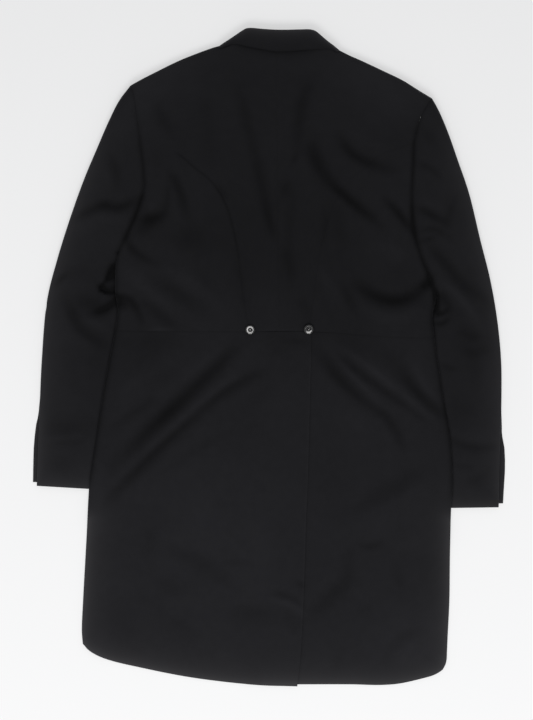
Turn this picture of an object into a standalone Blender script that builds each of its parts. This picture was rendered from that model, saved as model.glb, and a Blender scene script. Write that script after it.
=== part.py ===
"""Black wool morning coat laid face down, its back and tails up and its sleeves beside it.

Each cut piece of cloth is its own shell: two backs, two side backs, two foreparts with
their lapels, two tails that turn round the sides to the cut away front edge, two
two-piece sleeves, the turned down collar and three buttons. X runs across the back,
Y towards the collar and Z up, with the ground at zero and the coat's middle at the origin.
"""

import math
from collections import namedtuple

import bmesh
import bpy
import numpy as np
from mathutils import Matrix, Vector

# Sizes are in millimetres and scaled to metres when each mesh is made.
TO_METRES = 0.001
CLOTH = 1.5
HALF_CLOTH = CLOTH / 2
SEAM_HALF_GAP = 0.25
ARMHOLE_HALF_GAP = 0.35
ARMPIT_EXTRA_GAP = 0.5
EDGE_HALF_GAP = 0.4
LAYER_STEP = 2.4
LAPEL_LIFT = 2.2
TAIL_STEP = 2.8
SLEEVE_TUCK_RISE = 1.85
BODY_OVER_SLEEVE = 4.4
FLOOR_SAG = 1.3
NECK_SAG = 4.0
WAIST_BUTTON_RADIUS = 8.5
WAIST_BUTTON_THICK = 3.4
FRONT_BUTTON_RADIUS = 10.0
FRONT_BUTTON_THICK = 2.8
BUTTON_HOLE_RADIUS = 1.1
BUTTON_HOLE_REACH = 1.9
FRONT_BUTTON_AT = (16.0, 84.0)

# Distances from an edge that turns over, where the cloth needs a row of its own.
EDGE_STEPS = (0.0, 1.6, 5.0, 12.0)

Point = namedtuple("Point", "x y")
Section = namedtuple("Section", "y x")
Ring = namedtuple("Ring", "outer_x outer_y inner_x inner_y vent rise")
Height = namedtuple("Height", "y rise")
Fold = namedtuple("Fold", "x0 y0 x1 y1 bow width depth")
CollarRow = namedtuple("CollarRow", "fold_x fold_y edge_x edge_y seam_x seam_y")
Cloth = namedtuple("Cloth", "colour roughness metallic")

WOOL = Cloth((0.0125, 0.0122, 0.0128), 0.78, 0.0)
HORN = Cloth((0.018, 0.018, 0.020), 0.22, 0.0)

# How far the top cloth lies above the bottom cloth, by height on the coat.
RISE = (
    Height(-530, 3.2), Height(-250, 4.0), Height(-110, 4.8), Height(-30, 6.5),
    Height(41, 9.5), Height(110, 11.0), Height(200, 14.0), Height(300, 18.0),
    Height(430, 20.0), Height(500, 15.0), Height(530, 14.0),
)

# The sides of the body, from the armpit down to the corner of the tail.
LEFT_SIDE = (
    Section(165, -241), Section(150, -243), Section(122, -243.5), Section(98, -243),
    Section(75, -242), Section(44, -245), Section(13, -250), Section(-21, -256.5),
    Section(-69, -265), Section(-131, -274.5), Section(-194, -284), Section(-228, -286.5),
    Section(-259, -288), Section(-323, -291.5), Section(-387, -295), Section(-436, -296.5),
    Section(-456, -294),
)
RIGHT_SIDE = (
    Section(97, 266), Section(81, 262.5), Section(65, 259), Section(40, 261.5),
    Section(6, 265), Section(-16, 269), Section(-62, 276), Section(-100, 283),
    Section(-135, 288), Section(-204, 291.5), Section(-235, 289), Section(-259, 288),
    Section(-323, 287), Section(-387, 285.5), Section(-450, 282.5), Section(-480, 281),
)

# The hem of each tail, from its corner to the vent.
LEFT_HEM = (
    Section(-456, -294), Section(-463.5, -288), Section(-471, -277), Section(-481, -253),
    Section(-492, -205), Section(-505, -142), Section(-514, -78), Section(-521, -14),
    Section(-522.5, 45),
)
RIGHT_HEM = (
    Section(-480, 281), Section(-494, 277), Section(-503, 264), Section(-511, 240),
    Section(-517, 208), Section(-519.5, 180), Section(-519.8, 129), Section(-519.5, 46),
    Section(-519.5, -8),
)

# The waist seam and the vent edge of the left tail.
WAIST = (Point(-250, 41), Point(-38, 40), Point(72, 40), Point(169, 33), Point(204, 31), Point(268, 30))
VENT_EDGE = (
    Section(40, 67), Section(19, 67), Section(-116, 64), Section(-191, 62), Section(-263, 59),
    Section(-331, 57), Section(-409, 54), Section(-479, 50), Section(-523, 45),
)
VENT_LAP = 52.0

# The cut away front edges, from the waist round to the corner of the hem, underneath.
LEFT_CUT = (
    Section(41, 38), Section(33, 12), Section(22, -14), Section(8, -48), Section(-24, -86),
    Section(-67, -135), Section(-111, -184), Section(-156, -222), Section(-228, -247),
    Section(-307, -262), Section(-387, -274), Section(-452, -284),
)
RIGHT_CUT = (
    Section(41, -4), Section(33, 18), Section(22, 42), Section(5, 76), Section(-38, 127),
    Section(-83, 176), Section(-132, 214), Section(-188, 243), Section(-259, 260),
    Section(-387, 268), Section(-474, 272),
)

# The front edges above the waist: the fold of the lapel, then the buttoned edge.
LEFT_ROLL = (
    Section(492, -64), Section(470, -61), Section(429, -51), Section(348, -34),
    Section(283, -17), Section(210, 3), Section(159, 24), Section(120, 35), Section(41, 38),
)
RIGHT_ROLL = (
    Section(488, 104), Section(470, 99), Section(432, 76), Section(356, 56),
    Section(316, 43), Section(250, 22), Section(180, 5), Section(120, -2), Section(41, -4),
)
LEFT_LAPEL_EDGE = (
    Section(500, -98), Section(470, -103), Section(412, -138), Section(330, -106),
    Section(262, -60), Section(238, -24),
)
RIGHT_LAPEL_EDGE = (
    Section(500, 138), Section(470, 142), Section(412, 168), Section(330, 138),
    Section(280, 92), Section(258, 56),
)

# Seams of the back. Each armhole runs from the shoulder point to the armpit.
CENTRE_SEAM = (Point(11, 499.5), Point(11.5, 488), Point(13, 300), Point(16, 40))
LEFT_ARM_UP = (Point(-219, 430.5), Point(-215.5, 421), Point(-208, 381), Point(-198.5, 340))
LEFT_ARM_LOW = (
    Point(-198.5, 340), Point(-197, 305), Point(-199, 265), Point(-207, 240),
    Point(-219, 210), Point(-231, 184), Point(-241, 165),
)
RIGHT_ARM_UP = (Point(258, 411.5), Point(246, 390), Point(238, 366), Point(232.5, 340))
RIGHT_ARM_LOW = (
    Point(232.5, 340), Point(228.5, 300), Point(227, 246), Point(232, 195), Point(243, 160),
    Point(256, 129), Point(266, 97),
)
LEFT_SIDE_SEAM = (
    Point(-198.5, 340), Point(-146, 323), Point(-119, 301), Point(-92, 279), Point(-71, 248),
    Point(-58, 208), Point(-48, 165), Point(-36, 80), Point(-30, 40),
)
RIGHT_SIDE_SEAM = (
    Point(232.5, 340), Point(180, 323), Point(153, 301), Point(126, 279), Point(105, 248),
    Point(91, 208), Point(81, 165), Point(69, 80), Point(63, 40),
)
LEFT_NECK = (Point(11, 499.5), Point(-20, 499), Point(-45, 497), Point(-64, 492))
RIGHT_NECK = (Point(11, 499.5), Point(50, 499), Point(85, 495.5), Point(104, 488))
LEFT_SHOULDER = (
    Point(-64, 492), Point(-82, 492.5), Point(-96, 489), Point(-141, 471),
    Point(-174, 455), Point(-204, 439.5), Point(-219, 430.5),
)
RIGHT_SHOULDER = (
    Point(104, 488), Point(119, 483.5), Point(132, 477), Point(146, 471), Point(180, 455),
    Point(212, 439), Point(237, 423.5), Point(258, 411.5),
)

# A ring across each sleeve from its outer to its inner edge, from armhole to cuff. Vent is
# how far the lower layer stands out where the cuff opens.
LEFT_SLEEVE = (
    Ring(-219, 430.5, -241, 165, 0, 20.0), Ring(-238, 407.5, -246.5, 150, 0, 17.0),
    Ring(-253.5, 377, -247, 136, 0, 16.0), Ring(-274.5, 329, -247, 120, 0, 15.0),
    Ring(-293.5, 281, -247, 104, 0, 14.0), Ring(-316, 218, -240, 86, 0, 13.0),
    Ring(-336, 154, -227, 66, 0, 12.0), Ring(-352, 90, -220, 35, 0, 10.5),
    Ring(-360.5, -5, -221, -20, 0, 9.0), Ring(-363.5, -69, -223, -69, 0, 8.0),
    Ring(-366, -132, -226, -135, 6.5, 7.2), Ring(-367.5, -170, -229, -175, 7.2, 6.6),
    Ring(-368.5, -205, -231, -213, 6.4, 6.0),
)
RIGHT_SLEEVE = (
    Ring(258, 411.5, 266, 97, 0, 20.0), Ring(269, 392.5, 269.5, 90, 0, 17.0),
    Ring(283, 360, 268, 80, 0, 16.0), Ring(299.5, 313, 263.5, 67, 0, 15.0),
    Ring(317, 260, 252, 56, 0, 14.0), Ring(335, 186, 241, 40, 0, 13.0),
    Ring(351, 122, 233, 15, 0, 11.5), Ring(362, 59, 230, -25, 0, 10.0),
    Ring(368.2, -5, 230, -69, 0, 9.0), Ring(368.8, -69, 230, -120, 0, 8.2),
    Ring(367, -132, 230, -165, 5.5, 7.4), Ring(365.5, -185, 229.5, -200, 8.0, 6.8),
    Ring(364.5, -239, 229, -241, 7.8, 6.0),
)
CUFF_STEP = 6.0

# Half of the collar's rows lie left of the centre back and half right.
COLLAR = (
    CollarRow(-73.5, 497.5, -64.5, 489.5, -64.0, 496.5),
    CollarRow(-64.0, 504.5, -56.0, 491.0, -57.0, 499.0),
    CollarRow(-50.0, 513.0, -44.0, 490.5, -47.0, 501.0),
    CollarRow(-35.0, 520.5, -30.0, 489.5, -34.0, 502.0),
    CollarRow(-10.0, 521.6, -8.0, 488.0, -10.0, 502.5),
    CollarRow(18.0, 521.3, 18.0, 487.0, 18.0, 502.5),
    CollarRow(48.0, 521.0, 48.0, 487.0, 48.0, 502.0),
    CollarRow(70.0, 520.0, 70.0, 488.0, 71.0, 501.0),
    CollarRow(82.0, 512.5, 82.0, 488.5, 81.0, 500.0),
    CollarRow(95.0, 502.5, 93.0, 488.0, 91.0, 498.0),
    CollarRow(110.0, 490.0, 101.5, 486.0, 101.0, 493.5),
)

# The largest folds of the back, the tails and the sleeves. Depth is downwards.
BACK_FOLDS = (
    Fold(-48, 430, -17, 270, 4, 12, 2.6), Fold(-17, 270, 38, 125, -6, 12, 2.8),
    Fold(68, 432, 42, 318, 4, 12, 2.4), Fold(66, 320, 180, 206, 10, 15, 3.4),
    Fold(96, 300, 190, 262, -8, 22, -2.4), Fold(124, 342, 195, 298, 8, 13, 2.4),
    Fold(186, 254, 224, 208, 4, 12, 2.2), Fold(-180, 392, -134, 246, 8, 16, 2.2),
    Fold(-188, 226, -166, 196, 0, 18, 3.0), Fold(-150, 144, -76, 76, 6, 12, 2.6),
    Fold(-122, 150, -52, 82, 6, 16, -2.6), Fold(142, 114, 254, 130, -34, 12, 4.2),
    Fold(150, 150, 246, 160, -30, 16, -2.6), Fold(84, 158, 128, 76, 4, 16, -2.4),
    Fold(-232, 84, -198, 60, 0, 12, 2.2),
)
TAIL_FOLDS = (
    Fold(-56, 22, -238, -158, -14, 14, 2.8), Fold(-36, 4, -240, -196, -16, 16, -2.4),
    Fold(-18, -16, -244, -226, -18, 13, 2.0), Fold(76, 4, 214, -146, 14, 14, 2.8),
    Fold(118, 4, 262, -96, 10, 14, 2.2), Fold(96, 16, 246, -116, 12, 15, -2.4),
    Fold(244, -178, 136, -244, 6, 16, 2.0), Fold(-142, -308, -40, -374, -8, 20, 1.4),
    Fold(126, -346, 76, -388, 0, 18, 1.3), Fold(10, -374, 50, -404, 0, 14, 1.4),
)
SLEEVE_FOLDS = (
    Fold(-304, 224, -210, 243, -18, 14, 3.4), Fold(-314, 76, -264, 16, -6, 14, 2.6),
    Fold(-283, 75, -240, 92, 4, 9, 3.0), Fold(-352, -112, -296, -124, 0, 18, 1.6),
    Fold(240, 232, 288, 216, 0, 14, 2.8), Fold(258, 160, 340, 56, 6, 15, 3.2),
    Fold(302, 98, 332, 26, 4, 13, 2.2), Fold(324, 14, 316, -40, 0, 13, 2.0),
    Fold(288, -118, 360, -142, 0, 16, 1.8), Fold(272, 76, 300, 20, 10, 11, 2.4),
)

# Shares of the way across or along each piece.
SHOULDER_SHARES = (0.12, 0.26, 0.42, 0.58, 0.74, 0.9)
NECK_SHARES = (0.34, 0.68)
BACK_ROWS_BELOW = 12
ARM_UP_STEPS = 3
ARM_LOW_STEPS = 5
FOREPART_ROWS_BELOW = 5
SLEEVE_HEAD_STEPS = 2
SLEEVE_COLUMNS = (0.0, 0.017, 0.055, 0.16, 0.38, 0.62, 0.82, 1.0)
SLEEVE_ROWS = 12
TAIL_ROWS = 15
COLLAR_STEPS = 20


def clear_scene():
    for item in list(bpy.data.objects):
        bpy.data.objects.remove(item, do_unlink=True)


def smoothstep(value):
    share = np.clip(value, 0.0, 1.0)
    return share * share * (3.0 - 2.0 * share)


def bent_line(points, steps=24):
    """A smooth line through the points, sampled closely."""
    knots = np.array([(p[0], p[1]) for p in points], dtype=float)
    if len(knots) == 2:
        share = np.linspace(0.0, 1.0, steps + 1)[:, None]
        return knots[0] + (knots[1] - knots[0]) * share
    before = np.vstack([2 * knots[0] - knots[1], knots, 2 * knots[-1] - knots[-2]])
    found = []
    for i in range(len(knots) - 1):
        a, b, c, d = before[i : i + 4]
        span_ab = math.sqrt(np.linalg.norm(b - a))
        span_bc = math.sqrt(np.linalg.norm(c - b))
        span_cd = math.sqrt(np.linalg.norm(d - c))
        slope_b = (c - b) / span_bc - (c - a) / (span_ab + span_bc) + (b - a) / span_ab
        slope_c = (d - c) / span_cd - (d - b) / (span_bc + span_cd) + (c - b) / span_bc
        slope_b = slope_b * span_bc
        slope_c = slope_c * span_bc
        t = np.linspace(0.0, 1.0, steps, endpoint=False)[:, None]
        found.append(
            (2 * t**3 - 3 * t**2 + 1) * b + (t**3 - 2 * t**2 + t) * slope_b
            + (-2 * t**3 + 3 * t**2) * c + (t**3 - t**2) * slope_c
        )
    found.append(knots[-1][None, :])
    return np.vstack(found)


def line_length(line):
    return float(np.linalg.norm(np.diff(line, axis=0), axis=1).sum())


def along(line, distances):
    """Points of a line at the given distances from its start."""
    steps = np.linalg.norm(np.diff(line, axis=0), axis=1)
    travelled = np.concatenate([[0.0], np.cumsum(steps)])
    return np.column_stack([np.interp(distances, travelled, line[:, k]) for k in (0, 1)])


def moved_aside(line, amount):
    """A line moved sideways in plan, to its left hand for a positive amount."""
    run = np.gradient(line, axis=0)
    size = np.linalg.norm(run, axis=1, keepdims=True)
    side = np.column_stack([-run[:, 1], run[:, 0]]) / np.maximum(size, 1e-9)
    return line + side * np.reshape(amount, (-1, 1))


def dense_start(length, steps):
    """Distances along an edge with close rows where it starts, then even ones."""
    first = [step for step in EDGE_STEPS if step < length * 0.5]
    rest = np.linspace(first[-1], length, steps + 1)[1:]
    return np.concatenate([first, rest])


def dense_end(length, steps):
    return (length - dense_start(length, steps))[::-1]


def x_at(sections, y):
    """The x of a table of sections at a height, smooth between its rows."""
    line = bent_line([(s.x, s.y) for s in sections])
    order = np.argsort(line[:, 1])
    return np.interp(y, line[order, 1], line[order, 0])


def waist_y(x):
    line = bent_line(WAIST)
    return np.interp(x, line[:, 0], line[:, 1])


def distance_to(line, x, y):
    """The distance from each point to a line of short straight steps."""
    x = np.asarray(x, dtype=float)
    y = np.asarray(y, dtype=float)
    best = np.full(x.shape, 1e9)
    for start, end in zip(line[:-1], line[1:]):
        step = end - start
        share = ((x - start[0]) * step[0] + (y - start[1]) * step[1]) / max(step @ step, 1e-9)
        share = np.clip(share, 0.0, 1.0)
        gone = np.hypot(x - start[0] - share * step[0], y - start[1] - share * step[1])
        best = np.minimum(best, gone)
    return best


def round_share(distance, radius):
    """How far a cloth has come up from the edge it rolls round, from 0 to 1."""
    inward = 1.0 - np.clip(distance / np.maximum(radius, 0.1), 0.0, 1.0)
    return np.sqrt(np.maximum(1.0 - inward * inward, 0.0))


def fold_height(folds, x, y):
    """The height that a table of folds adds at each point."""
    total = np.zeros(np.shape(x))
    for fold in folds:
        share = np.linspace(0.0, 1.0, 13)
        run = np.array([fold.x1 - fold.x0, fold.y1 - fold.y0], dtype=float)
        side = np.array([-run[1], run[0]]) / np.linalg.norm(run)
        middle = np.array([fold.x0, fold.y0]) + run / 2 + side * fold.bow * 2
        start = np.array([fold.x0, fold.y0])
        end = np.array([fold.x1, fold.y1])
        line = (
            (1 - share)[:, None] ** 2 * start
            + 2 * ((1 - share) * share)[:, None] * middle
            + share[:, None] ** 2 * end
        )
        best = np.full(np.shape(x), 1e9)
        where = np.zeros(np.shape(x))
        for i in range(len(line) - 1):
            step = line[i + 1] - line[i]
            part = ((x - line[i][0]) * step[0] + (y - line[i][1]) * step[1]) / (step @ step)
            part = np.clip(part, 0.0, 1.0)
            gone = np.hypot(x - line[i][0] - part * step[0], y - line[i][1] - part * step[1])
            nearer = gone < best
            best = np.where(nearer, gone, best)
            where = np.where(nearer, (i + part) / (len(line) - 1), where)
        taper = np.sin(np.pi * np.clip(where * 0.9 + 0.05, 0.0, 1.0)) ** 0.6
        total = total - fold.depth * np.exp(-((best / fold.width) ** 2)) * taper
    return total


def rise_at(y):
    ordered = sorted(RISE)
    return np.interp(y, [row.y for row in ordered], [row.rise for row in ordered])


LEFT_ARM = np.vstack([bent_line(LEFT_ARM_UP), bent_line(LEFT_ARM_LOW)[1:]])
RIGHT_ARM = np.vstack([bent_line(RIGHT_ARM_UP), bent_line(RIGHT_ARM_LOW)[1:]])
LEFT_OUTER = bent_line([(r.outer_x, r.outer_y) for r in LEFT_SLEEVE])
RIGHT_OUTER = bent_line([(r.outer_x, r.outer_y) for r in RIGHT_SLEEVE])
LEFT_INNER = bent_line([(r.inner_x, r.inner_y) for r in LEFT_SLEEVE])
RIGHT_INNER = bent_line([(r.inner_x, r.inner_y) for r in RIGHT_SLEEVE])
BODY_EDGES = (
    bent_line([(s.x, s.y) for s in LEFT_SIDE], 3),
    bent_line([(s.x, s.y) for s in RIGHT_SIDE], 3),
    bent_line(LEFT_SHOULDER, 4),
    bent_line(RIGHT_SHOULDER, 4),
    LEFT_OUTER[::6],
    RIGHT_OUTER[::6],
)


def body_round(x, y):
    """How far the cloth of the body has come round from the outline, from 0 to 1."""
    radius = rise_at(y) / 2
    nearest = np.full(np.shape(x), 1e9)
    for line in BODY_EDGES:
        nearest = np.minimum(nearest, distance_to(line, x, y))
    return round_share(nearest, radius)


def sleeve_lift(x, y):
    """The body rides up over the sleeves that are tucked under its sides."""
    left_in = np.interp(-np.asarray(y, float), -LEFT_INNER[::4][:, 1], LEFT_INNER[::4][:, 0])
    right_in = np.interp(-np.asarray(y, float), -RIGHT_INNER[::4][:, 1], RIGHT_INNER[::4][:, 0])
    left = smoothstep((left_in + 34.0 - x) / 28.0)
    right = smoothstep((x - right_in + 34.0) / 28.0)
    left = left * smoothstep((158.0 - y) / 55.0) * smoothstep((y + 213 + 78.0) / 44.0)
    right = right * smoothstep((98.0 - y) / 26.0) * smoothstep((y + 241 + 78.0) / 44.0)
    return BODY_OVER_SLEEVE * (left + right)


def covered(x, y):
    """1 where the foreparts or the tails' front edges lie beneath, 0 where only the ground does."""
    left_in = x - x_at(LEFT_CUT, y)
    right_in = x_at(RIGHT_CUT, y) - x
    depth = np.minimum(left_in, right_in)
    below = 1.0 - smoothstep((depth + 4.0) / 54.0)
    return np.where(np.asarray(y) > 30.0, 1.0, below)


def neck_sag(x, y):
    """The back sinks a little into the open neck between the lapels."""
    left_in = x - x_at(LEFT_ROLL, y)
    right_in = x_at(RIGHT_ROLL, y) - x
    depth = np.minimum(left_in, right_in)
    return NECK_SAG * smoothstep((depth + 6.0) / 44.0) * smoothstep((y - 190.0) / 60.0) * smoothstep(
        (500.0 - y) / 60.0
    )


def button_lift(x, y):
    away = np.hypot(x - FRONT_BUTTON_AT[0], y - FRONT_BUTTON_AT[1])
    return (FRONT_BUTTON_THICK + 0.5) * smoothstep((78.0 - away) / 38.0)


def under_height(x, y, side):
    """The middle of the bottom cloth before it rolls up to the outline."""
    x = np.asarray(x, dtype=float)
    y = np.asarray(y, dtype=float)
    low = HALF_CLOTH + sleeve_lift(x, y) + button_lift(x, y)
    if side < 0:
        lapel = smoothstep((x - x_at(LEFT_LAPEL_EDGE, y) + 75.0) / 36.0)
        lapel = lapel * smoothstep((y - 176.0) / 40.0)
        return low + LAPEL_LIFT * lapel
    lapel = smoothstep((x_at(RIGHT_LAPEL_EDGE, y) + 75.0 - x) / 36.0)
    lapel = lapel * smoothstep((y - 190.0) / 40.0)
    edge = np.where(y > 41.0, x_at(LEFT_ROLL, y), x_at(LEFT_CUT, y))
    lapped = smoothstep((edge + 44.0 - x) / 32.0) * smoothstep((262.0 - y) / 30.0)
    beneath = (under_height(x, y, -1) - low + LAYER_STEP) * lapped
    return low + np.maximum(LAPEL_LIFT * lapel, beneath)


def top_height(x, y, roll=None):
    """The middle of the top cloth of the body."""
    x = np.asarray(x, dtype=float)
    y = np.asarray(y, dtype=float)
    share = body_round(x, y) if roll is None else roll
    rise = rise_at(y)
    lay = rise * covered(x, y) + FLOOR_SAG * (1.0 - covered(x, y))
    lay = lay - neck_sag(x, y)
    folds = np.where(
        y > 41.0, fold_height(BACK_FOLDS + SLEEVE_FOLDS, x, y), fold_height(TAIL_FOLDS, x, y)
    )
    near_waist = smoothstep(np.abs(y - 38.0) / 26.0)
    low = HALF_CLOTH + sleeve_lift(x, y)
    high = low + lay * (1.0 + share) / 2 + folds * near_waist * share**2
    floor = np.maximum(under_height(x, y, -1), under_height(x, y, 1)) + CLOTH + 0.6
    is_open = smoothstep((0.5 - covered(x, y)) / 0.5)
    floor = floor * (1.0 - is_open) + HALF_CLOTH * is_open
    high = np.where(share > 0.97, np.maximum(high, floor), high)
    edge = low + lay / 2 + EDGE_HALF_GAP
    return np.maximum(high, np.where(share < 0.05, edge, high))


def bottom_height(x, y, side, roll=None):
    share = body_round(x, y) if roll is None else roll
    rise = rise_at(y)
    flat = under_height(x, y, side)
    spare = (HALF_CLOTH + sleeve_lift(x, y)) + rise / 2 - EDGE_HALF_GAP
    up = flat + (spare - flat) * (1.0 - share)
    return np.minimum(up, np.maximum(spare, flat))


def weights_along(line):
    steps = np.linalg.norm(np.diff(line, axis=0), axis=1)
    travelled = np.concatenate([[0.0], np.cumsum(steps)])
    return travelled / travelled[-1]


def patch(top, bottom, left, right, spacing=None):
    """A grid of plan points between four edges, rows from top to bottom.

    Spacing gives each row's own shares of the way across, where they differ from its edges'.
    """
    u_top = weights_along(top)
    u_bottom = weights_along(bottom)
    v_left = weights_along(left)
    v_right = weights_along(right)
    rows = len(left)
    columns = len(top)
    grid = np.zeros((rows, columns, 2))

    def spot(line, weights, share):
        return np.array([np.interp(share, weights, line[:, k]) for k in (0, 1)])

    for j in range(rows):
        for i in range(columns):
            v = v_left[j] + (v_right[j] - v_left[j]) * (u_top[i] + u_bottom[i]) / 2
            u = u_top[i] * (1 - v) + u_bottom[i] * v if spacing is None else spacing[j][i]
            v = v_left[j] * (1 - u) + v_right[j] * u
            across = (1 - u) * left[j] + u * right[j]
            down = (1 - v) * spot(top, u_top, u) + v * spot(bottom, u_bottom, u)
            corners = (1 - u) * ((1 - v) * top[0] + v * bottom[0])
            corners = corners + u * ((1 - v) * top[-1] + v * bottom[-1])
            grid[j, i] = across + down - corners
    grid[0] = top
    grid[-1] = bottom
    grid[:, 0] = left
    grid[:, -1] = right
    return grid


def drawn_in(grid, top=0.0, bottom=0.0, left=0.0, right=0.0):
    """The grid with its edges drawn in, which leaves the gap of a seam."""
    moved = grid.copy()
    sides = (
        (top, (0, slice(None)), (1, slice(None))),
        (bottom, (-1, slice(None)), (-2, slice(None))),
        (left, (slice(None), 0), (slice(None), 1)),
        (right, (slice(None), -1), (slice(None), -2)),
    )
    for amount, edge, inner in sides:
        if amount:
            step = grid[inner] - grid[edge]
            size = np.linalg.norm(step[..., :2], axis=-1, keepdims=True)
            moved[edge] = moved[edge] + step * (amount / np.maximum(size, 1e-6))
    return moved


def with_height(grid, height):
    return np.dstack([grid, height])


def material_for(name, cloth):
    made = bpy.data.materials.new(name)
    made.use_nodes = True
    shader = made.node_tree.nodes["Principled BSDF"]
    shader.inputs["Base Color"].default_value = (*cloth.colour, 1.0)
    shader.inputs["Roughness"].default_value = cloth.roughness
    shader.inputs["Metallic"].default_value = cloth.metallic
    made.diffuse_color = (*cloth.colour, 1.0)
    return made


def add_shell(name, grid, cloth=WOOL, thick=CLOTH):
    """One piece of cloth: the sheet through a grid of points, with its thickness."""
    rows, columns = grid.shape[:2]
    points = (grid.reshape(-1, 3) * TO_METRES).tolist()
    faces = []
    for j in range(rows - 1):
        for i in range(columns - 1):
            a = j * columns + i
            faces.append((a, a + 1, a + columns + 1, a + columns))
    mesh = bpy.data.meshes.new(name)
    mesh.from_pydata(points, [], faces)
    mesh.update()
    mesh.polygons.foreach_set("use_smooth", [True] * len(mesh.polygons))
    mesh.materials.append(material_for(name + "_wool", cloth))
    item = bpy.data.objects.new(name, mesh)
    coat.objects.link(item)
    solid = item.modifiers.new("cloth thickness", "SOLIDIFY")
    solid.thickness = thick * TO_METRES
    solid.offset = 0.0
    solid.use_rim = True
    return item


def add_button(name, x, y, low, radius, thick):
    """A round horn button with a raised rim and four holes."""
    profile = (
        (0.0, 0.0), (radius * 0.8, 0.0), (radius, thick * 0.35), (radius, thick * 0.7),
        (radius * 0.92, thick), (radius * 0.76, thick), (radius * 0.66, thick * 0.68), (0.0, thick * 0.62),
    )
    turns = 28
    body = bmesh.new()
    rings = []
    for reach, height in profile[1:-1]:
        ring = []
        for k in range(turns):
            angle = 2 * math.pi * k / turns
            spot = Vector((reach * math.cos(angle), reach * math.sin(angle), height)) * TO_METRES
            ring.append(body.verts.new(spot))
        rings.append(ring)
    foot = body.verts.new((0.0, 0.0, 0.0))
    crown = body.verts.new((0.0, 0.0, profile[-1][1] * TO_METRES))
    for k in range(turns):
        after = (k + 1) % turns
        body.faces.new((foot, rings[0][after], rings[0][k]))
        body.faces.new((crown, rings[-1][k], rings[-1][after]))
        for lower, upper in zip(rings[:-1], rings[1:]):
            body.faces.new((lower[k], lower[after], upper[after], upper[k]))
    mesh = bpy.data.meshes.new(name)
    body.to_mesh(mesh)
    body.free()
    mesh.materials.append(material_for(name + "_horn", HORN))
    item = bpy.data.objects.new(name, mesh)
    item.location = Vector((x, y, low)) * TO_METRES
    coat.objects.link(item)
    holes = bmesh.new()
    for turn in (0.25, 0.75, 1.25, 1.75):
        spot = Vector((math.cos(turn * math.pi), math.sin(turn * math.pi), 0.0)) * BUTTON_HOLE_REACH
        spot.z = thick / 2
        bmesh.ops.create_cone(
            holes, cap_ends=True, segments=10, radius1=BUTTON_HOLE_RADIUS * TO_METRES,
            radius2=BUTTON_HOLE_RADIUS * TO_METRES, depth=(thick + 2.0) * TO_METRES,
            matrix=Matrix.Translation(spot * TO_METRES),
        )
    cut_mesh = bpy.data.meshes.new(name + "_holes")
    holes.to_mesh(cut_mesh)
    holes.free()
    cutter = bpy.data.objects.new(name + "_holes", cut_mesh)
    cutter.location = item.location
    cutter.hide_render = True
    cutter.display_type = "WIRE"
    cutters.objects.link(cutter)
    cut = item.modifiers.new("thread holes", "BOOLEAN")
    cut.operation = "DIFFERENCE"
    cut.solver = "EXACT"
    cut.object = cutter
    return item


clear_scene()
coat = bpy.data.collections.new("morning_coat")
cutters = bpy.data.collections.new("cutters")
cutters.hide_render = True
bpy.context.scene.collection.children.link(coat)
bpy.context.scene.collection.children.link(cutters)

# The two backs meet at the centre seam. Each runs from the neck and shoulder down to the
# waist button, between the centre seam and the curved side back seam.
seams = {}
for side, arm_up, arm_low, side_seam, shoulder in (
    (-1, LEFT_ARM_UP, LEFT_ARM_LOW, LEFT_SIDE_SEAM, LEFT_SHOULDER),
    (1, RIGHT_ARM_UP, RIGHT_ARM_LOW, RIGHT_SIDE_SEAM, RIGHT_SHOULDER),
):
    line = bent_line(arm_up)
    seams["arm_up", side] = along(line, dense_start(line_length(line), ARM_UP_STEPS))
    line = bent_line(arm_low)
    seams["arm_low", side] = along(line, dense_end(line_length(line), ARM_LOW_STEPS))
    line = bent_line(side_seam)
    seams["side_seam", side] = along(line, np.linspace(0.0, line_length(line), BACK_ROWS_BELOW + 1))
    line = bent_line(shoulder)
    shares = np.array((0.0,) + SHOULDER_SHARES + (0.96, 1.0))
    seams["shoulder", side] = along(line, shares * line_length(line))
    arm = np.vstack([seams["arm_up", side], seams["arm_low", side][1:]])
    from_pit = np.linalg.norm(arm - arm[-1], axis=1)
    gap = ARMHOLE_HALF_GAP + ARMPIT_EXTRA_GAP * (1.0 - smoothstep(from_pit / 16.0))
    seams["arm", side] = moved_aside(arm, -side * gap)
    seams["sleeve_hole", side] = moved_aside(arm, side * gap)
    steps = len(seams["arm_up", side])
    seams["arm_up", side] = seams["arm", side][:steps]
    seams["arm_low", side] = seams["arm", side][steps - 1 :]

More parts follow.
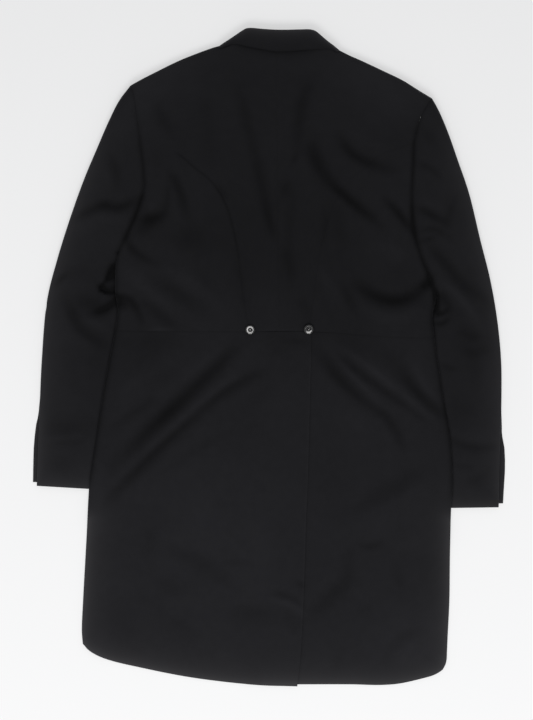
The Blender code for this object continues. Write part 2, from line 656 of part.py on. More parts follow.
for side, name, neck in ((-1, "back_left", LEFT_NECK), (1, "back_right", RIGHT_NECK)):
    neck_line = bent_line(neck)
    neck_points = along(neck_line, np.array((0.0,) + NECK_SHARES + (1.0,)) * line_length(neck_line))
    top = np.vstack([neck_points, seams["shoulder", side][1:]])
    outer = np.vstack([seams["arm_up", side], seams["side_seam", side][1:]])
    centre_line = bent_line(CENTRE_SEAM)
    upper = len(seams["arm_up", side])
    spans = np.concatenate(
        [
            along(np.column_stack([np.linspace(0, 1, 2), np.linspace(0, 1, 2)]), [0.0])[:, 0],
            dense_start(120.0, ARM_UP_STEPS)[1:],
            np.linspace(120.0, line_length(centre_line), BACK_ROWS_BELOW + 1)[1:],
        ]
    )
    centre = along(centre_line, spans[: upper + BACK_ROWS_BELOW])
    foot_share = np.linspace(0.0, 1.0, len(top))[:, None]
    bottom = centre[-1] + (outer[-1] - centre[-1]) * foot_share
    bottom[:, 1] = waist_y(bottom[:, 0])
    outer[-1] = bottom[-1]
    centre[-1] = bottom[0]
    plan = patch(top, bottom, centre, outer)
    plan = drawn_in(plan, bottom=SEAM_HALF_GAP, left=SEAM_HALF_GAP, right=SEAM_HALF_GAP)
    add_shell(name, with_height(plan, top_height(plan[..., 0], plan[..., 1])))

# The side backs fill the space between the side back seams and the sides, from the armhole
# down to the waist seam.
for side, name, edge in ((-1, "side_back_left", LEFT_SIDE), (1, "side_back_right", RIGHT_SIDE)):
    top = seams["arm_low", side]
    inner = seams["side_seam", side].copy()
    rows = len(inner)
    levels = np.linspace(top[-1][1], waist_y(edge[5].x), rows)
    outer = np.column_stack([x_at(edge, levels), levels])
    inner[-1][1] = waist_y(inner[-1][0])
    run = np.linalg.norm(outer[-1] - inner[-1])
    shares = dense_end(run, ARM_LOW_STEPS) / run
    bottom = inner[-1] + (outer[-1] - inner[-1]) * shares[:, None]
    bottom[:, 1] = waist_y(bottom[:, 0])
    outer[-1] = bottom[-1]
    outer[0] = top[-1]
    plan = patch(top, bottom, inner, outer)
    plan = drawn_in(plan, bottom=SEAM_HALF_GAP, left=SEAM_HALF_GAP)
    add_shell(name, with_height(plan, top_height(plan[..., 0], plan[..., 1])))

# The foreparts lie underneath, from the shoulder seam and armhole to the waist seam and from
# the side seam to the fold of the lapel.
for side, name, edge, roll in (
    (-1, "forepart_left", LEFT_SIDE, LEFT_ROLL),
    (1, "forepart_right", RIGHT_SIDE, RIGHT_ROLL),
):
    top = seams["shoulder", side]
    levels = np.linspace(edge[0].y, waist_y(edge[5].x), FOREPART_ROWS_BELOW + 1)[1:]
    outer = np.vstack([seams["arm", side], np.column_stack([x_at(edge, levels), levels])])
    roll_line = bent_line([(s.x, s.y) for s in roll])
    rows = len(outer) - len(EDGE_STEPS)
    front = along(roll_line, dense_start(line_length(roll_line), rows))
    reach = np.linalg.norm(outer[-1] - front[-1])
    shares = dense_end(reach, len(top) - len(EDGE_STEPS)) / reach
    bottom = front[-1] + (outer[-1] - front[-1]) * shares[:, None]
    bottom[:, 1] = waist_y(bottom[:, 0])
    outer[-1] = bottom[-1]
    outer[0] = top[-1]
    front[0] = top[0]
    front[-1] = bottom[0]
    plan = patch(top, bottom, front, outer)
    plan = drawn_in(plan, bottom=SEAM_HALF_GAP)
    add_shell(name, with_height(plan, bottom_height(plan[..., 0], plan[..., 1], side)))

# Each tail runs from the vent round the side and on under the coat to the cut away edge. The
# left tail laps over the right one at the vent.
for side, name, edge, hem, cut in (
    (-1, "tail_left", LEFT_SIDE, LEFT_HEM, LEFT_CUT),
    (1, "tail_right", RIGHT_SIDE, RIGHT_HEM, RIGHT_CUT),
):
    hem_line = bent_line([(s.x, s.y) for s in hem])
    hem_order = np.argsort(hem_line[:, 0])
    down = np.concatenate([np.linspace(0.0, 0.9, TAIL_ROWS - 3), [0.95, 0.985, 1.0]])
    reach_shares = np.array((0.0, 0.035, 0.09, 0.18, 0.29, 0.41, 0.53, 0.65, 0.76, 0.85, 0.92, 0.97))
    under_shares = np.array((0.08, 0.2, 0.34, 0.5, 0.66, 0.82, 1.0))
    grid = []
    for share in down:
        corner_y = waist_y(edge[5].x) + (edge[-1].y - waist_y(edge[5].x)) * share
        fold_x = float(x_at(edge, corner_y))
        radius = float(rise_at(corner_y)) / 2
        vent_y = 40.0 + (VENT_EDGE[-1].y - 40.0) * share
        start_x = float(x_at(VENT_EDGE, vent_y)) - (VENT_LAP if side > 0 else 0.0)
        inward = -side
        row = []
        stops = list(start_x + (fold_x + inward * radius - start_x) * reach_shares)
        stops = stops + [fold_x + inward * radius, fold_x + inward * radius * 0.3]
        for x in stops:
            end_y = float(np.interp(x, hem_line[hem_order, 0], hem_line[hem_order, 1]))
            y = float(waist_y(x)) - SEAM_HALF_GAP
            y = y + (end_y - y) * share
            roll = round_share(abs(x - fold_x), radius)
            z = float(top_height(x, y, roll))
            lap = smoothstep((x - float(x_at(VENT_EDGE, y)) + 92.0) / 34.0)
            nearness = 1.0 - smoothstep((40.0 - y) / 70.0)
            if side < 0:
                z = z + (TAIL_STEP - nearness) * lap
            else:
                lap = smoothstep((float(x_at(VENT_EDGE, y)) + 40.0 - x) / 34.0)
                z = z - nearness * lap
            row.append((x, y, z))
        z = HALF_CLOTH + float(sleeve_lift(fold_x, corner_y)) + radius
        row.append((fold_x, corner_y - SEAM_HALF_GAP * (1.0 - share), z))
        cut_y = waist_y(edge[5].x) + (cut[-1].y - waist_y(edge[5].x)) * share
        cut_x = float(x_at(cut, cut_y))
        stops = [fold_x + inward * radius * 0.3, fold_x + inward * radius]
        stops = stops + list(stops[-1] + (cut_x - stops[-1]) * under_shares)
        for x in stops:
            part = (x - fold_x) / (cut_x - fold_x)
            y = float(waist_y(x)) - SEAM_HALF_GAP
            end_y = edge[-1].y + (cut[-1].y - edge[-1].y) * part
            y = y + (end_y - y) * share
            roll = round_share(abs(x - fold_x), radius)
            row.append((x, y, float(bottom_height(x, y, side, roll))))
        grid.append(row)
    add_shell(name, np.array(grid))

# Two-piece sleeves, pressed flat: the under sleeve is uppermost here and the top sleeve lies
# on the ground, with the seams along the two edges. Their inner edges are under the body.
for side, word, rings, arm, outer_line, inner_line, edge, pit_level in (
    (-1, "left", LEFT_SLEEVE, LEFT_ARM, LEFT_OUTER, LEFT_INNER, LEFT_SIDE, 0.41),
    (1, "right", RIGHT_SLEEVE, RIGHT_ARM, RIGHT_OUTER, RIGHT_INNER, RIGHT_SIDE, 0.46),
):
    whole = seams["sleeve_hole", side]
    split = ARM_UP_STEPS + len(EDGE_STEPS) - 1 + SLEEVE_HEAD_STEPS
    hole = whole[: split + 1]
    pit = whole[split:]
    length = line_length(outer_line)
    upper_part = np.linspace(0.0, pit_level * length, len(pit))
    stops = np.concatenate([upper_part, np.linspace(pit_level * length, length, SLEEVE_ROWS + 1)[1:]])
    shares = stops / length
    outer = along(outer_line, stops)
    outer[0] = hole[0]
    below = along(inner_line, np.linspace(0.0, 1.0, SLEEVE_ROWS + 1) ** 1.15 * line_length(inner_line))
    inner = np.vstack([pit, below[1:]])
    head = weights_along(hole)
    spacing = []
    for j in range(len(outer)):
        trial = np.linspace(0.3, 1.0, 141)[:, None]
        spots = outer[j] + (inner[j] - outer[j]) * trial
        clear = (spots[:, 0] - x_at(edge, spots[:, 1])) * side > 2.0
        reach = float(trial[clear][-1, 0]) if clear.any() else 0.6
        reach = min(max(reach, 0.5), 0.9)
        body_line = np.append(np.array(SLEEVE_COLUMNS) * reach, 1.0)
        share = float(smoothstep(j / (len(pit) - 1.0)))
        spacing.append(head * (1.0 - share) + body_line * share)
    across = spacing[-1]
    cuff = outer[-1] + (inner[-1] - outer[-1]) * across[:, None]
    plan = patch(hole, cuff, outer, inner, spacing)
    row_rise = np.interp(shares, np.linspace(0.0, 1.0, len(rings)), [r.rise for r in rings])
    x = plan[..., 0]
    y = plan[..., 1]
    own = row_rise[:, None] + np.zeros_like(x)
    near_hole = 1.0 - smoothstep(distance_to(arm[::4], x, y) / 95.0)
    own = own * (1.0 - near_hole) + rise_at(y) * near_hole
    armpit = pit[-1]
    outside = (x - x_at(edge, y)) * side
    tuck = 1.0 - smoothstep((outside - 3.5) / 16.0)
    fade = 26.0 if side < 0 else 14.0
    tuck = tuck * smoothstep((armpit[1] - y) / fade)
    own = own * (1.0 - tuck) + SLEEVE_TUCK_RISE * tuck
    nearest = np.full(x.shape, 1e9)
    shoulder_line = bent_line(LEFT_SHOULDER if side < 0 else RIGHT_SHOULDER, 4)
    for line in (outer_line[::6], inner_line[::4], shoulder_line):
        nearest = np.minimum(nearest, distance_to(line, x, y))
    roll = round_share(nearest, own / 2)
    roll = roll + (1.0 - roll) * tuck
    folds = fold_height(BACK_FOLDS + SLEEVE_FOLDS, x, y) * roll**2 * (1.0 - tuck)
    upper = HALF_CLOTH + own * (1.0 + roll) / 2 + folds
    upper = np.maximum(upper, HALF_CLOTH + np.minimum(own / 2 + EDGE_HALF_GAP, own))
    upper = np.maximum(upper, HALF_CLOTH + SLEEVE_TUCK_RISE)
    add_shell("under_sleeve_" + word, with_height(plan, upper))
    vent = np.interp(shares, np.linspace(0.0, 1.0, len(rings)), [r.vent for r in rings])
    lower_plan = plan.copy()
    width = np.array(spacing)
    lower_plan[..., 0] = lower_plan[..., 0] + side * vent[:, None] * (1.0 - width) ** 3
    lower_plan[-1, :, 1] = lower_plan[-1, :, 1] + CUFF_STEP
    opened = np.clip(vent / 3.0, 0.0, 1.0)[:, None] * (1.0 - smoothstep(width / 0.4))
    lower = HALF_CLOTH + own * (1.0 - roll) / 2 * (1.0 - opened)
    lower = np.minimum(lower, HALF_CLOTH + own / 2 - EDGE_HALF_GAP)
    add_shell("top_sleeve_" + word, with_height(lower_plan, np.maximum(lower, HALF_CLOTH)))

# The collar is folded over itself at its top: the fall lies on the backs and the stand goes
# down inside it to the neck seam.
table = np.array([tuple(row) for row in COLLAR])
fold_line = bent_line(table[:, 0:2], 12)
fall_line = bent_line(table[:, 2:4], 12)
neck_line = bent_line(table[:, 4:6], 12)
shares = np.linspace(0.0, 1.0, COLLAR_STEPS + 1)
fold_at = along(fold_line, shares * line_length(fold_line))
fall_at = along(fall_line, shares * line_length(fall_line))
seam_at = along(neck_line, shares * line_length(neck_line))
base = HALF_CLOTH + rise_at(np.full(len(shares), 497.0))
end_drop = 2.5 * (1.0 - smoothstep(np.minimum(shares, 1.0 - shares) / 0.16))
stand_z = base - 0.2 - end_drop
fall_z = base + 2.2 - end_drop * 0.3
turn = (fall_z - stand_z) / 2
grid = []
for fold, fall, seam, low, high, radius in zip(fold_at, fall_at, seam_at, stand_z, fall_z, turn):
    row = []
    inward = (fall - fold) / np.linalg.norm(fall - fold)
    heart = fold + inward * radius
    for share in (0.0, 0.3, 0.65, 0.9):
        spot = fall + (heart - fall) * share
        row.append((spot[0], spot[1], high))
    for angle in (90, 45, 0, -45, -90):
        spot = heart - inward * radius * math.cos(math.radians(angle))
        row.append((spot[0], spot[1], (low + high) / 2 + radius * math.sin(math.radians(angle))))
    back_in = (seam - heart)
    for share in (0.35, 0.7, 1.0):
        spot = heart + back_in * share
        row.append((spot[0], spot[1], low))
    grid.append(row)
add_shell("collar", np.array(grid))

# Under the coat each end of the collar and each lapel lie folded back on the forepart.
for side, word, roll, lapel in (
    (-1, "left", LEFT_ROLL, LEFT_LAPEL_EDGE),
    (1, "right", RIGHT_ROLL, RIGHT_LAPEL_EDGE),
):
    levels = np.linspace(484.0, 428.0, 5)
    near = np.column_stack([x_at(roll, levels), levels])
    far = near + np.array([side * 36.0, -10.0])
    across = np.linspace(0.0, 1.0, 5)
    plan = near[:, None, :] + (far - near)[:, None, :] * across[None, :, None]
    add_shell("collar_end_" + word, with_height(plan, np.full(plan.shape[:2], HALF_CLOTH)))
    foot = lapel[-1].y
    levels = np.linspace(424.0, foot + 6.0, 12)
    near = np.column_stack([x_at(roll, levels), levels])
    tip = np.linspace(403.0, foot, 12)
    far = np.column_stack([x_at(lapel, tip), tip])
    across = np.linspace(0.0, 1.0, 6)
    plan = near[:, None, :] + (far - near)[:, None, :] * across[None, :, None]
    add_shell("lapel_" + word, with_height(plan, np.full(plan.shape[:2], HALF_CLOTH)))

# Two buttons at the back waist and one on the front edge, face down on the ground.
spots = [(8.5 * math.cos(a) * k, 8.5 * math.sin(a) * k) for a in np.linspace(0, 6, 13) for k in (0, 0.5, 1)]
for word, x, y, extra in (("left", -30.0, 43.0, 0.0), ("right", 63.0, 43.5, TAIL_STEP - 1.0)):
    highest = max(float(top_height(x + dx, y + dy)) for dx, dy in spots)
    low = highest + extra + HALF_CLOTH + 0.35
    add_button("waist_button_" + word, x, y, low, WAIST_BUTTON_RADIUS, WAIST_BUTTON_THICK)
front_button = add_button(
    "front_button", FRONT_BUTTON_AT[0], FRONT_BUTTON_AT[1], 0.0, FRONT_BUTTON_RADIUS, FRONT_BUTTON_THICK
)
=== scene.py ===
"""The looks of a black wool morning coat that lies face down on a pale floor."""

import math
from collections import namedtuple

import bmesh
import bpy
import numpy as np
from mathutils import Matrix, Vector


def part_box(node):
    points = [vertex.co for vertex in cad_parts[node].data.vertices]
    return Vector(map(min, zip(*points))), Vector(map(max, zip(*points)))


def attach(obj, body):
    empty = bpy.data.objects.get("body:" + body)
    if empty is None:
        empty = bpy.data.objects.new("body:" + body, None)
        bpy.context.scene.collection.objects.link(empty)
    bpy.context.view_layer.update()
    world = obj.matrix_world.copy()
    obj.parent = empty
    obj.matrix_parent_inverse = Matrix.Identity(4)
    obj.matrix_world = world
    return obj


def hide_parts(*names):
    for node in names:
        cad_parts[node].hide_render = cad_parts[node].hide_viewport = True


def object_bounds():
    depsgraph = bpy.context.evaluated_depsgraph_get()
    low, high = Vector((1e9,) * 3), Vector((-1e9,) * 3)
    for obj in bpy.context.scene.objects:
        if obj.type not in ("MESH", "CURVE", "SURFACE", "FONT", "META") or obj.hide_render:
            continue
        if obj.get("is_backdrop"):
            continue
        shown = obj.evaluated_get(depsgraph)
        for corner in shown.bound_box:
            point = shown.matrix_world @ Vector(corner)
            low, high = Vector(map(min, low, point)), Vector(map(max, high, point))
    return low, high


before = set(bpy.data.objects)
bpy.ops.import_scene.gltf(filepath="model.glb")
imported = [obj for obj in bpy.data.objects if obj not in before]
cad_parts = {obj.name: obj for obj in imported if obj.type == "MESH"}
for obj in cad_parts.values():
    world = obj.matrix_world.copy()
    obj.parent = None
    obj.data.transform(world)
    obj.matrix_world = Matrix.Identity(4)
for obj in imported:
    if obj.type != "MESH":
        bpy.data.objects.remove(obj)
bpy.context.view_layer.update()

# The foreparts lie lowest, on the floor: worsted wool over canvas, cut from the shoulder to the
# waist seam and pressed to the fold of the lapel. The way that the whole coat lies, its cloth and
# its grain are set here, because every other piece follows them.

CLOTH = 1.5
HALF_CLOTH = CLOTH / 2
SEAM_HALF_GAP = 0.03
ARMHOLE_HALF_GAP = 0.05
ARMPIT_EXTRA_GAP = 0.3
UNDER_SEAM_STEP = 0.4
EDGE_HALF_GAP = 0.4
LAYER_STEP = 2.4
LAPEL_LIFT = 2.2
LAPEL_INSIDE = 75.0
LAPEL_FADE = 36.0
BODY_OVER_SLEEVE = 4.4
TUCK_WIDE = 34.0
TUCK_FADE = 28.0
FRONT_BUTTON_THICK = 2.8
FRONT_BUTTON_AT = (16.0, 84.0)
HIDDEN_STEP = 6.5
EDGE_ROWS = (0.0, 0.35, 0.9, 1.8, 3.0, 4.6, 6.6, 9.0, 12.0)
WAIST_LEVEL = 41.0
# The row of a side's table that gives the outer end of the waist seam.
WAIST_ROW = 5

Section = namedtuple("Section", "y x")
Ring = namedtuple("Ring", "outer_x outer_y inner_x inner_y rise")
Height = namedtuple("Height", "y rise")


def rows_of(kind, *rows):
    """A table whose rows all have the same named columns."""
    return tuple(kind(*row) for row in rows)


# How far the top cloth lies above the bottom cloth, by height on the coat.
RISE = rows_of(
    Height,
    (-530, 3.2), (-250, 4.0), (-110, 4.8), (-30, 6.5), (41, 9.5), (110, 11.0), (200, 14.0), (300, 18.0),
    (430, 20.0), (500, 15.0), (530, 14.0),
)

# The sides of the body, from the armpit down to the corner of the tail.
LEFT_SIDE = rows_of(
    Section,
    (165, -241), (150, -243), (122, -243.5), (98, -243), (75, -239.5), (44, -243.5), (13, -249.5),
    (-21, -256.5), (-69, -265), (-131, -274.5), (-194, -284), (-228, -286.5), (-259, -288),
    (-323, -291.5), (-387, -295), (-436, -297), (-456, -295.5),
)
RIGHT_SIDE = rows_of(
    Section,
    (97, 266), (81, 262.5), (65, 259), (40, 261.5), (6, 265), (-16, 269), (-62, 276), (-100, 283),
    (-135, 288), (-204, 291.5), (-235, 289), (-259, 288), (-323, 287), (-387, 286.2), (-450, 283.2),
    (-480, 282),
)

# The waist seam, from the wearer's left side to the right.
WAIST = ((-250, 41), (-38, 40), (72, 40), (169, 33), (204, 31), (268, 30))

# The cut away front edges, from the waist round to the corner of the hem, underneath.
LEFT_CUT = rows_of(
    Section,
    (41, 38), (33, 12), (22, -14), (8, -48), (-24, -86), (-67, -135), (-111, -184), (-156, -222),
    (-228, -247), (-307, -262), (-387, -274), (-452, -284),
)
RIGHT_CUT = rows_of(
    Section,
    (41, -4), (33, 18), (22, 42), (5, 76), (-38, 127), (-83, 176), (-132, 214), (-188, 243), (-259, 260),
    (-387, 268), (-474, 272),
)

# The front edges above the waist: the fold of the lapel, then the buttoned edge.
LEFT_ROLL = rows_of(
    Section,
    (492, -64), (470, -61), (429, -51), (348, -34), (283, -17), (210, 3), (159, 24), (120, 35), (41, 38),
)
RIGHT_ROLL = rows_of(
    Section,
    (488, 104), (470, 99), (432, 76), (356, 56), (316, 43), (250, 22), (180, 5), (120, -2), (41, -4),
)
LEFT_LAPEL_EDGE = rows_of(
    Section,
    (500, -98), (470, -103), (412, -138), (330, -106), (262, -60), (238, -24),
)
RIGHT_LAPEL_EDGE = rows_of(
    Section,
    (500, 138), (470, 142), (412, 168), (330, 138), (280, 92), (258, 56),
)

# Each armhole seam from the shoulder point down to the armpit, and each shoulder seam outwards.
LEFT_ARM_UP = ((-219, 430.5), (-214.5, 418), (-209.5, 381), (-204.5, 340))
LEFT_ARM_LOW = (
    (-204.5, 340), (-200, 305), (-198.5, 268), (-206.5, 240), (-219, 210), (-230, 186), (-241, 165),
)
RIGHT_ARM_UP = ((257.8, 410.2), (245, 390), (236, 366), (230, 338))
RIGHT_ARM_LOW = ((230, 338), (228.5, 300), (226.5, 250), (230.5, 198), (241, 162), (254, 129), (266, 97))
LEFT_SHOULDER = (
    (-66, 496), (-79, 493.2), (-93, 489), (-141, 470.4), (-174, 454.4), (-204, 439), (-219, 430.5),
)
RIGHT_SHOULDER = (
    (103, 490), (114, 485), (127, 478.4), (146, 470), (180, 454), (212, 438.4), (237, 422.8),
    (257.8, 410.2),
)

# A ring across each sleeve from its outer to its inner edge, from armhole to cuff.
LEFT_SLEEVE = rows_of(
    Ring,
    (-219, 430.5, -241, 165, 20.0), (-237, 407, -243.6, 150, 17.0), (-252.6, 376.6, -243.3, 136, 16.0),
    (-273.5, 328.6, -242.4, 120, 15.0), (-293.5, 281, -240, 104, 14.0), (-316, 218, -236, 86, 13.0),
    (-336, 154, -227, 66, 12.0), (-352, 90, -220, 35, 10.5), (-360.5, -5, -221, -20, 9.0),
    (-363.5, -69, -223, -69, 8.0), (-366, -132, -226, -135, 7.2), (-367.5, -170, -229, -175, 6.6),
    (-368.5, -205, -231, -213, 6.0),
)
RIGHT_SLEEVE = rows_of(
    Ring,
    (257.8, 410.2, 266, 97, 20.0), (268.2, 392.1, 264.8, 90, 17.0), (282.3, 359.7, 261.5, 80, 16.0),
    (299, 312.8, 256.5, 67, 15.0), (317, 260, 249, 56, 14.0), (335, 186, 241, 40, 13.0),
    (351, 122, 233, 15, 11.5), (362, 59, 230, -25, 10.0), (368.2, -5, 230, -69, 9.0),
    (368.8, -69, 230, -120, 8.2), (367, -132, 230, -165, 7.4), (365.5, -185, 229.5, -200, 6.8),
    (364.5, -239, 229, -241, 6.0),
)


def smoothstep(value):
    """A share that starts and stops softly, from 0 to 1."""
    share = np.clip(value, 0.0, 1.0)
    return share * share * (3.0 - 2.0 * share)


def bent_line(points, steps=24):
    """A smooth line through the points, sampled closely."""
    knots = np.array([(p[0], p[1]) for p in points], dtype=float)
    before = np.vstack([2 * knots[0] - knots[1], knots, 2 * knots[-1] - knots[-2]])
    found = []
    for i in range(len(knots) - 1):
        a, b, c, d = before[i : i + 4]
        span_ab = math.sqrt(np.linalg.norm(b - a))
        span_bc = math.sqrt(np.linalg.norm(c - b))
        span_cd = math.sqrt(np.linalg.norm(d - c))
        slope_b = (c - b) / span_bc - (c - a) / (span_ab + span_bc) + (b - a) / span_ab
        slope_c = (d - c) / span_cd - (d - b) / (span_bc + span_cd) + (c - b) / span_bc
        slope_b = slope_b * span_bc
        slope_c = slope_c * span_bc
        t = np.linspace(0.0, 1.0, steps, endpoint=False)[:, None]
        found.append(
            (2 * t**3 - 3 * t**2 + 1) * b + (t**3 - 2 * t**2 + t) * slope_b
            + (-2 * t**3 + 3 * t**2) * c + (t**3 - t**2) * slope_c
        )
    found.append(knots[-1][None, :])
    return np.vstack(found)


def edge_line(sections, steps=24):
    """The smooth line of a table of sections."""
    return bent_line([(s.x, s.y) for s in sections], steps)


def line_length(line):
    return float(np.linalg.norm(np.diff(line, axis=0), axis=1).sum())


def along(line, distances):
    """Points of a line at the given distances from its start."""
    steps = np.linalg.norm(np.diff(line, axis=0), axis=1)
    travelled = np.concatenate([[0.0], np.cumsum(steps)])
    return np.column_stack([np.interp(distances, travelled, line[:, k]) for k in (0, 1)])


def moved_aside(line, amount):
    """The line moved to its left by an amount at each point."""
    run = np.gradient(line, axis=0)
    size = np.linalg.norm(run, axis=1, keepdims=True)
    side = np.column_stack([-run[:, 1], run[:, 0]]) / np.maximum(size, 1e-9)
    return line + side * np.reshape(amount, (-1, 1))


def close_start(length, step):
    """Distances along an edge: close where the cloth turns over, then even."""
    first = [row for row in EDGE_ROWS if row < length * 0.4]
    count = max(int(round((length - first[-1]) / step)), 2)
    return np.concatenate([first, np.linspace(first[-1], length, count + 1)[1:]])


def close_both(length, step):
    half = close_start(length / 2, step)
    return np.concatenate([half, (length - half)[::-1][1:]])


def x_at(sections, y):
    """How far across an edge lies at each height."""
    line = edge_line(sections)
    order = np.argsort(line[:, 1])
    return np.interp(y, line[order, 1], line[order, 0])


def waist_y(x):
    """The height of the waist seam at each place across."""
    line = bent_line(WAIST)
    return np.interp(x, line[:, 0], line[:, 1])


def distance_to(line, x, y):
    """The distance from each point to a line of short straight steps."""
    x = np.asarray(x, dtype=float)
    y = np.asarray(y, dtype=float)
    best = np.full(x.shape, 1e9)
    for start, end in zip(line[:-1], line[1:]):
        step = end - start
        share = ((x - start[0]) * step[0] + (y - start[1]) * step[1]) / max(step @ step, 1e-9)
        share = np.clip(share, 0.0, 1.0)
        gone = np.hypot(x - start[0] - share * step[0], y - start[1] - share * step[1])
        best = np.minimum(best, gone)
    return best


def nearest_to(lines, x, y):
    """The distance from each point to the nearest of some lines."""
    return np.minimum.reduce([distance_to(line, x, y) for line in lines])


def round_share(distance, radius):
    """How far a cloth has come up from the edge it rolls round, from 0 to 1."""
    inward = 1.0 - np.clip(distance / np.maximum(radius, 0.1), 0.0, 1.0)
    return np.sqrt(np.maximum(1.0 - inward * inward, 0.0))


def rise_at(y):
    """How far the top cloth lies above the bottom cloth."""
    ordered = sorted(RISE)
    return np.interp(y, [row.y for row in ordered], [row.rise for row in ordered])


LEFT_ARM = np.vstack([bent_line(LEFT_ARM_UP), bent_line(LEFT_ARM_LOW)[1:]])
RIGHT_ARM = np.vstack([bent_line(RIGHT_ARM_UP), bent_line(RIGHT_ARM_LOW)[1:]])
LEFT_OUTER = bent_line([(r.outer_x, r.outer_y) for r in LEFT_SLEEVE])
RIGHT_OUTER = bent_line([(r.outer_x, r.outer_y) for r in RIGHT_SLEEVE])
LEFT_INNER = bent_line([(r.inner_x, r.inner_y) for r in LEFT_SLEEVE])
RIGHT_INNER = bent_line([(r.inner_x, r.inner_y) for r in RIGHT_SLEEVE])
BODY_EDGES = (
    edge_line(LEFT_SIDE, 4),
    edge_line(RIGHT_SIDE, 4),
    bent_line(LEFT_SHOULDER, 4),
    bent_line(RIGHT_SHOULDER, 4),
    LEFT_OUTER[::6],
    RIGHT_OUTER[::6],
)


def body_round(x, y):
    """How far the cloth of the body has come round from the outline, from 0 to 1."""
    return round_share(nearest_to(BODY_EDGES, x, y), rise_at(y) / 2)


LEFT_PIT_LEVEL = 158.0
LEFT_PIT_FADE = 55.0
RIGHT_PIT_LEVEL = 98.0
RIGHT_PIT_FADE = 26.0
LEFT_CUFF_LEVEL = -213
RIGHT_CUFF_LEVEL = -241
PAST_CUFF = 78.0
PAST_CUFF_FADE = 44.0


def sleeve_lift(x, y):
    """The body rides up over the sleeves that are tucked under its sides."""
    left_in = np.interp(-np.asarray(y, float), -LEFT_INNER[::4][:, 1], LEFT_INNER[::4][:, 0])
    right_in = np.interp(-np.asarray(y, float), -RIGHT_INNER[::4][:, 1], RIGHT_INNER[::4][:, 0])
    left = smoothstep((left_in + TUCK_WIDE - x) / TUCK_FADE)
    left = left * smoothstep((LEFT_PIT_LEVEL - y) / LEFT_PIT_FADE)
    right = smoothstep((x - right_in + TUCK_WIDE) / TUCK_FADE)
    right = right * smoothstep((RIGHT_PIT_LEVEL - y) / RIGHT_PIT_FADE)
    left = left * smoothstep((y - LEFT_CUFF_LEVEL + PAST_CUFF) / PAST_CUFF_FADE)
    right = right * smoothstep((y - RIGHT_CUFF_LEVEL + PAST_CUFF) / PAST_CUFF_FADE)
    return BODY_OVER_SLEEVE * (left + right)


BUTTON_LIFT_REACH = 78.0
BUTTON_LIFT_FADE = 38.0


def button_lift(x, y):
    """The cloth lies higher over the front button."""
    away = np.hypot(x - FRONT_BUTTON_AT[0], y - FRONT_BUTTON_AT[1])
    return (FRONT_BUTTON_THICK + 0.5) * smoothstep((BUTTON_LIFT_REACH - away) / BUTTON_LIFT_FADE)


LEFT_LAPEL_FOOT = 176.0
RIGHT_LAPEL_FOOT = 190.0
LAPEL_FOOT_FADE = 40.0
LAP_WIDE = 44.0
LAP_FADE = 32.0
LAP_TOP = 262.0
LAP_TOP_FADE = 30.0


def under_height(x, y, side):
    """The middle of the bottom cloth before it rolls up to the outline."""
    x = np.asarray(x, dtype=float)
    y = np.asarray(y, dtype=float)
    low = HALF_CLOTH + sleeve_lift(x, y) + button_lift(x, y)
    if side < 0:
        lapel = smoothstep((x - x_at(LEFT_LAPEL_EDGE, y) + LAPEL_INSIDE) / LAPEL_FADE)
        lapel = lapel * smoothstep((y - LEFT_LAPEL_FOOT) / LAPEL_FOOT_FADE)
        return low + LAPEL_LIFT * lapel
    lapel = smoothstep((x_at(RIGHT_LAPEL_EDGE, y) + LAPEL_INSIDE - x) / LAPEL_FADE)
    lapel = lapel * smoothstep((y - RIGHT_LAPEL_FOOT) / LAPEL_FOOT_FADE)
    edge = np.where(y > WAIST_LEVEL, x_at(LEFT_ROLL, y), x_at(LEFT_CUT, y))
    lapped = smoothstep((edge + LAP_WIDE - x) / LAP_FADE) * smoothstep((LAP_TOP - y) / LAP_TOP_FADE)
    beneath = (under_height(x, y, -1) - low + LAYER_STEP) * lapped
    return low + np.maximum(LAPEL_LIFT * lapel, beneath)


def bottom_height(x, y, side, roll=None):
    """The bottom cloth, which comes up to half the coat's height at the outline."""
    share = body_round(x, y) if roll is None else roll
    rise = rise_at(y)
    flat = under_height(x, y, side)
    spare = (HALF_CLOTH + sleeve_lift(x, y)) + rise / 2 - EDGE_HALF_GAP
    up = flat + (spare - flat) * (1.0 - share)
    return np.minimum(up, np.maximum(spare, flat))


def weights_along(line):
    """How far along a line each of its points lies, from 0 to 1."""
    steps = np.linalg.norm(np.diff(line, axis=0), axis=1)
    travelled = np.concatenate([[0.0], np.cumsum(steps)])
    return travelled / travelled[-1]


def patch(top, bottom, left, right, spacing=None):
    """A grid of plan points between four edges, rows from top to bottom."""
    u_top = weights_along(top)
    u_bottom = weights_along(bottom)
    v_left = weights_along(left)
    v_right = weights_along(right)
    grid = np.zeros((len(left), len(top), 2))
    for j in range(len(left)):
        v = v_left[j] + (v_right[j] - v_left[j]) * (u_top + u_bottom) / 2
        u = u_top * (1 - v) + u_bottom * v if spacing is None else spacing[j]
        v = v_left[j] * (1 - u) + v_right[j] * u
        for k in (0, 1):
            across = (1 - u) * left[j, k] + u * right[j, k]
            down = (1 - v) * np.interp(u, u_top, top[:, k]) + v * np.interp(u, u_bottom, bottom[:, k])
            corners = (1 - u) * ((1 - v) * top[0, k] + v * bottom[0, k])
            corners = corners + u * ((1 - v) * top[-1, k] + v * bottom[-1, k])
            grid[j, :, k] = across + down - corners
    grid[0] = top
    grid[-1] = bottom
    grid[:, 0] = left
    grid[:, -1] = right
    return grid


def with_height(grid, height):
    return np.dstack([grid, height])


def add_object(name, mesh):
    item = bpy.data.objects.new(name, mesh)
    bpy.context.scene.collection.objects.link(item)
    return item


